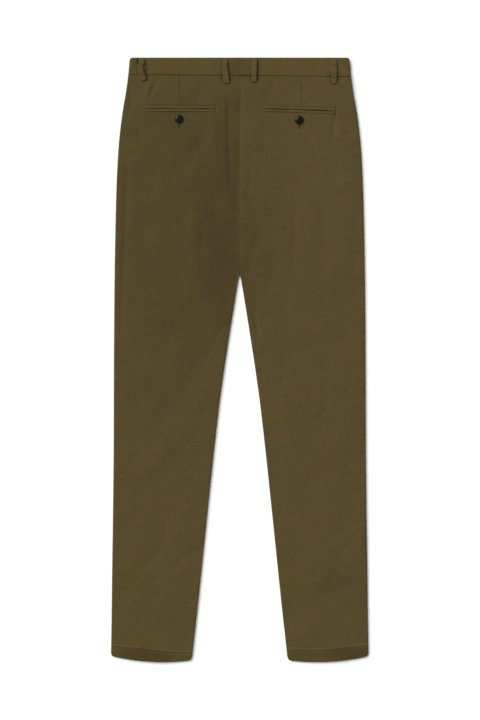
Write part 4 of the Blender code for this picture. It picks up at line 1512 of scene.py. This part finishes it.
class TROUSERS_OT_stage(bpy.types.Operator):
    """Sets the floor, the light and the camera"""
    bl_idname = "trousers.stage"
    bl_label = "Stage"

    def execute(self, context):
        settings = context.scene.trousers_stage
        bpy.ops.object.select_all(action="DESELECT")
        bpy.ops.mesh.primitive_plane_add(size=8, location=(0, 0, -0.3 * MM))
        floor = bpy.context.active_object
        floor.name = "floor"
        bpy.ops.object.transform_apply(location=True)
        material, shader, _ = new_material("plain_floor")
        shader.inputs["Base Color"].default_value = (*settings.floor, 1)
        shader.inputs["Roughness"].default_value = 1.0
        shader.inputs["Specular IOR Level"].default_value = 0.0
        floor.data.materials.append(material)

        sun = bpy.data.lights.new("key_light", "SUN")
        sun.energy = settings.sun
        sun.angle = settings.softness
        lamp = bpy.data.objects.new("key_light", sun)
        context.scene.collection.objects.link(lamp)
        towards = Vector((
            math.cos(settings.azimuth) * math.cos(settings.elevation),
            math.sin(settings.azimuth) * math.cos(settings.elevation),
            math.sin(settings.elevation)))
        lamp.location = towards * 3
        lamp.rotation_euler = towards.to_track_quat("Z", "Y").to_euler()

        world = context.scene.world or bpy.data.worlds.new("World")
        context.scene.world = world
        world.use_nodes = True
        sky = world.node_tree.nodes["Background"]
        sky.inputs["Color"].default_value = (1, 1, 1, 1)
        sky.inputs["Strength"].default_value = settings.sky

        lens = bpy.data.cameras.new("camera")
        lens.sensor_width = SENSOR
        lens.lens = SENSOR * CAMERA_HEIGHT / PHOTO_HEIGHT
        lens.clip_end = 4 * CAMERA_HEIGHT
        camera = bpy.data.objects.new("camera", lens)
        context.scene.collection.objects.link(camera)
        camera.location = (*PHOTO_CENTRE, CAMERA_HEIGHT)
        context.scene.camera = camera
        context.scene.view_settings.view_transform = "Standard"
        return {"FINISHED"}


class TROUSERS_PT_build(bpy.types.Panel):
    """Lists the steps that dress the trousers"""
    bl_idname = "TROUSERS_PT_build"
    bl_label = "Suit trousers"
    bl_space_type = "VIEW_3D"
    bl_region_type = "UI"
    bl_category = "Trousers"

    def draw(self, context):
        for settings in (context.scene.trousers_cloth, context.scene.trousers_trim,
                         context.scene.trousers_stage):
            box = self.layout.box()
            for name in settings.__annotations__:
                box.prop(settings, name)
        for operator in OPERATORS:
            self.layout.operator(operator.bl_idname)


OPERATORS = (
    TROUSERS_OT_panels, TROUSERS_OT_waistband, TROUSERS_OT_belt_loops, TROUSERS_OT_back_pockets,
    TROUSERS_OT_side_pockets, TROUSERS_OT_buttons, TROUSERS_OT_buttonholes,
    TROUSERS_OT_topstitching, TROUSERS_OT_stage,
)
CLASSES = (ClothSettings, TrimSettings, StageSettings, TROUSERS_PT_build) + OPERATORS


def register():
    for cls in CLASSES:
        bpy.utils.register_class(cls)
    bpy.types.Scene.trousers_cloth = bpy.props.PointerProperty(type=ClothSettings)
    bpy.types.Scene.trousers_trim = bpy.props.PointerProperty(type=TrimSettings)
    bpy.types.Scene.trousers_stage = bpy.props.PointerProperty(type=StageSettings)


def unregister():
    del bpy.types.Scene.trousers_stage
    del bpy.types.Scene.trousers_trim
    del bpy.types.Scene.trousers_cloth
    for cls in reversed(CLASSES):
        bpy.utils.unregister_class(cls)


def main():
    register()
    bpy.ops.trousers.panels()
    bpy.ops.trousers.waistband()
    bpy.ops.trousers.belt_loops()
    bpy.ops.trousers.back_pockets()
    bpy.ops.trousers.side_pockets()
    bpy.ops.trousers.buttons()
    bpy.ops.trousers.buttonholes()
    bpy.ops.trousers.topstitching()
    bpy.ops.trousers.stage()


if __name__ == "__main__":
    main()
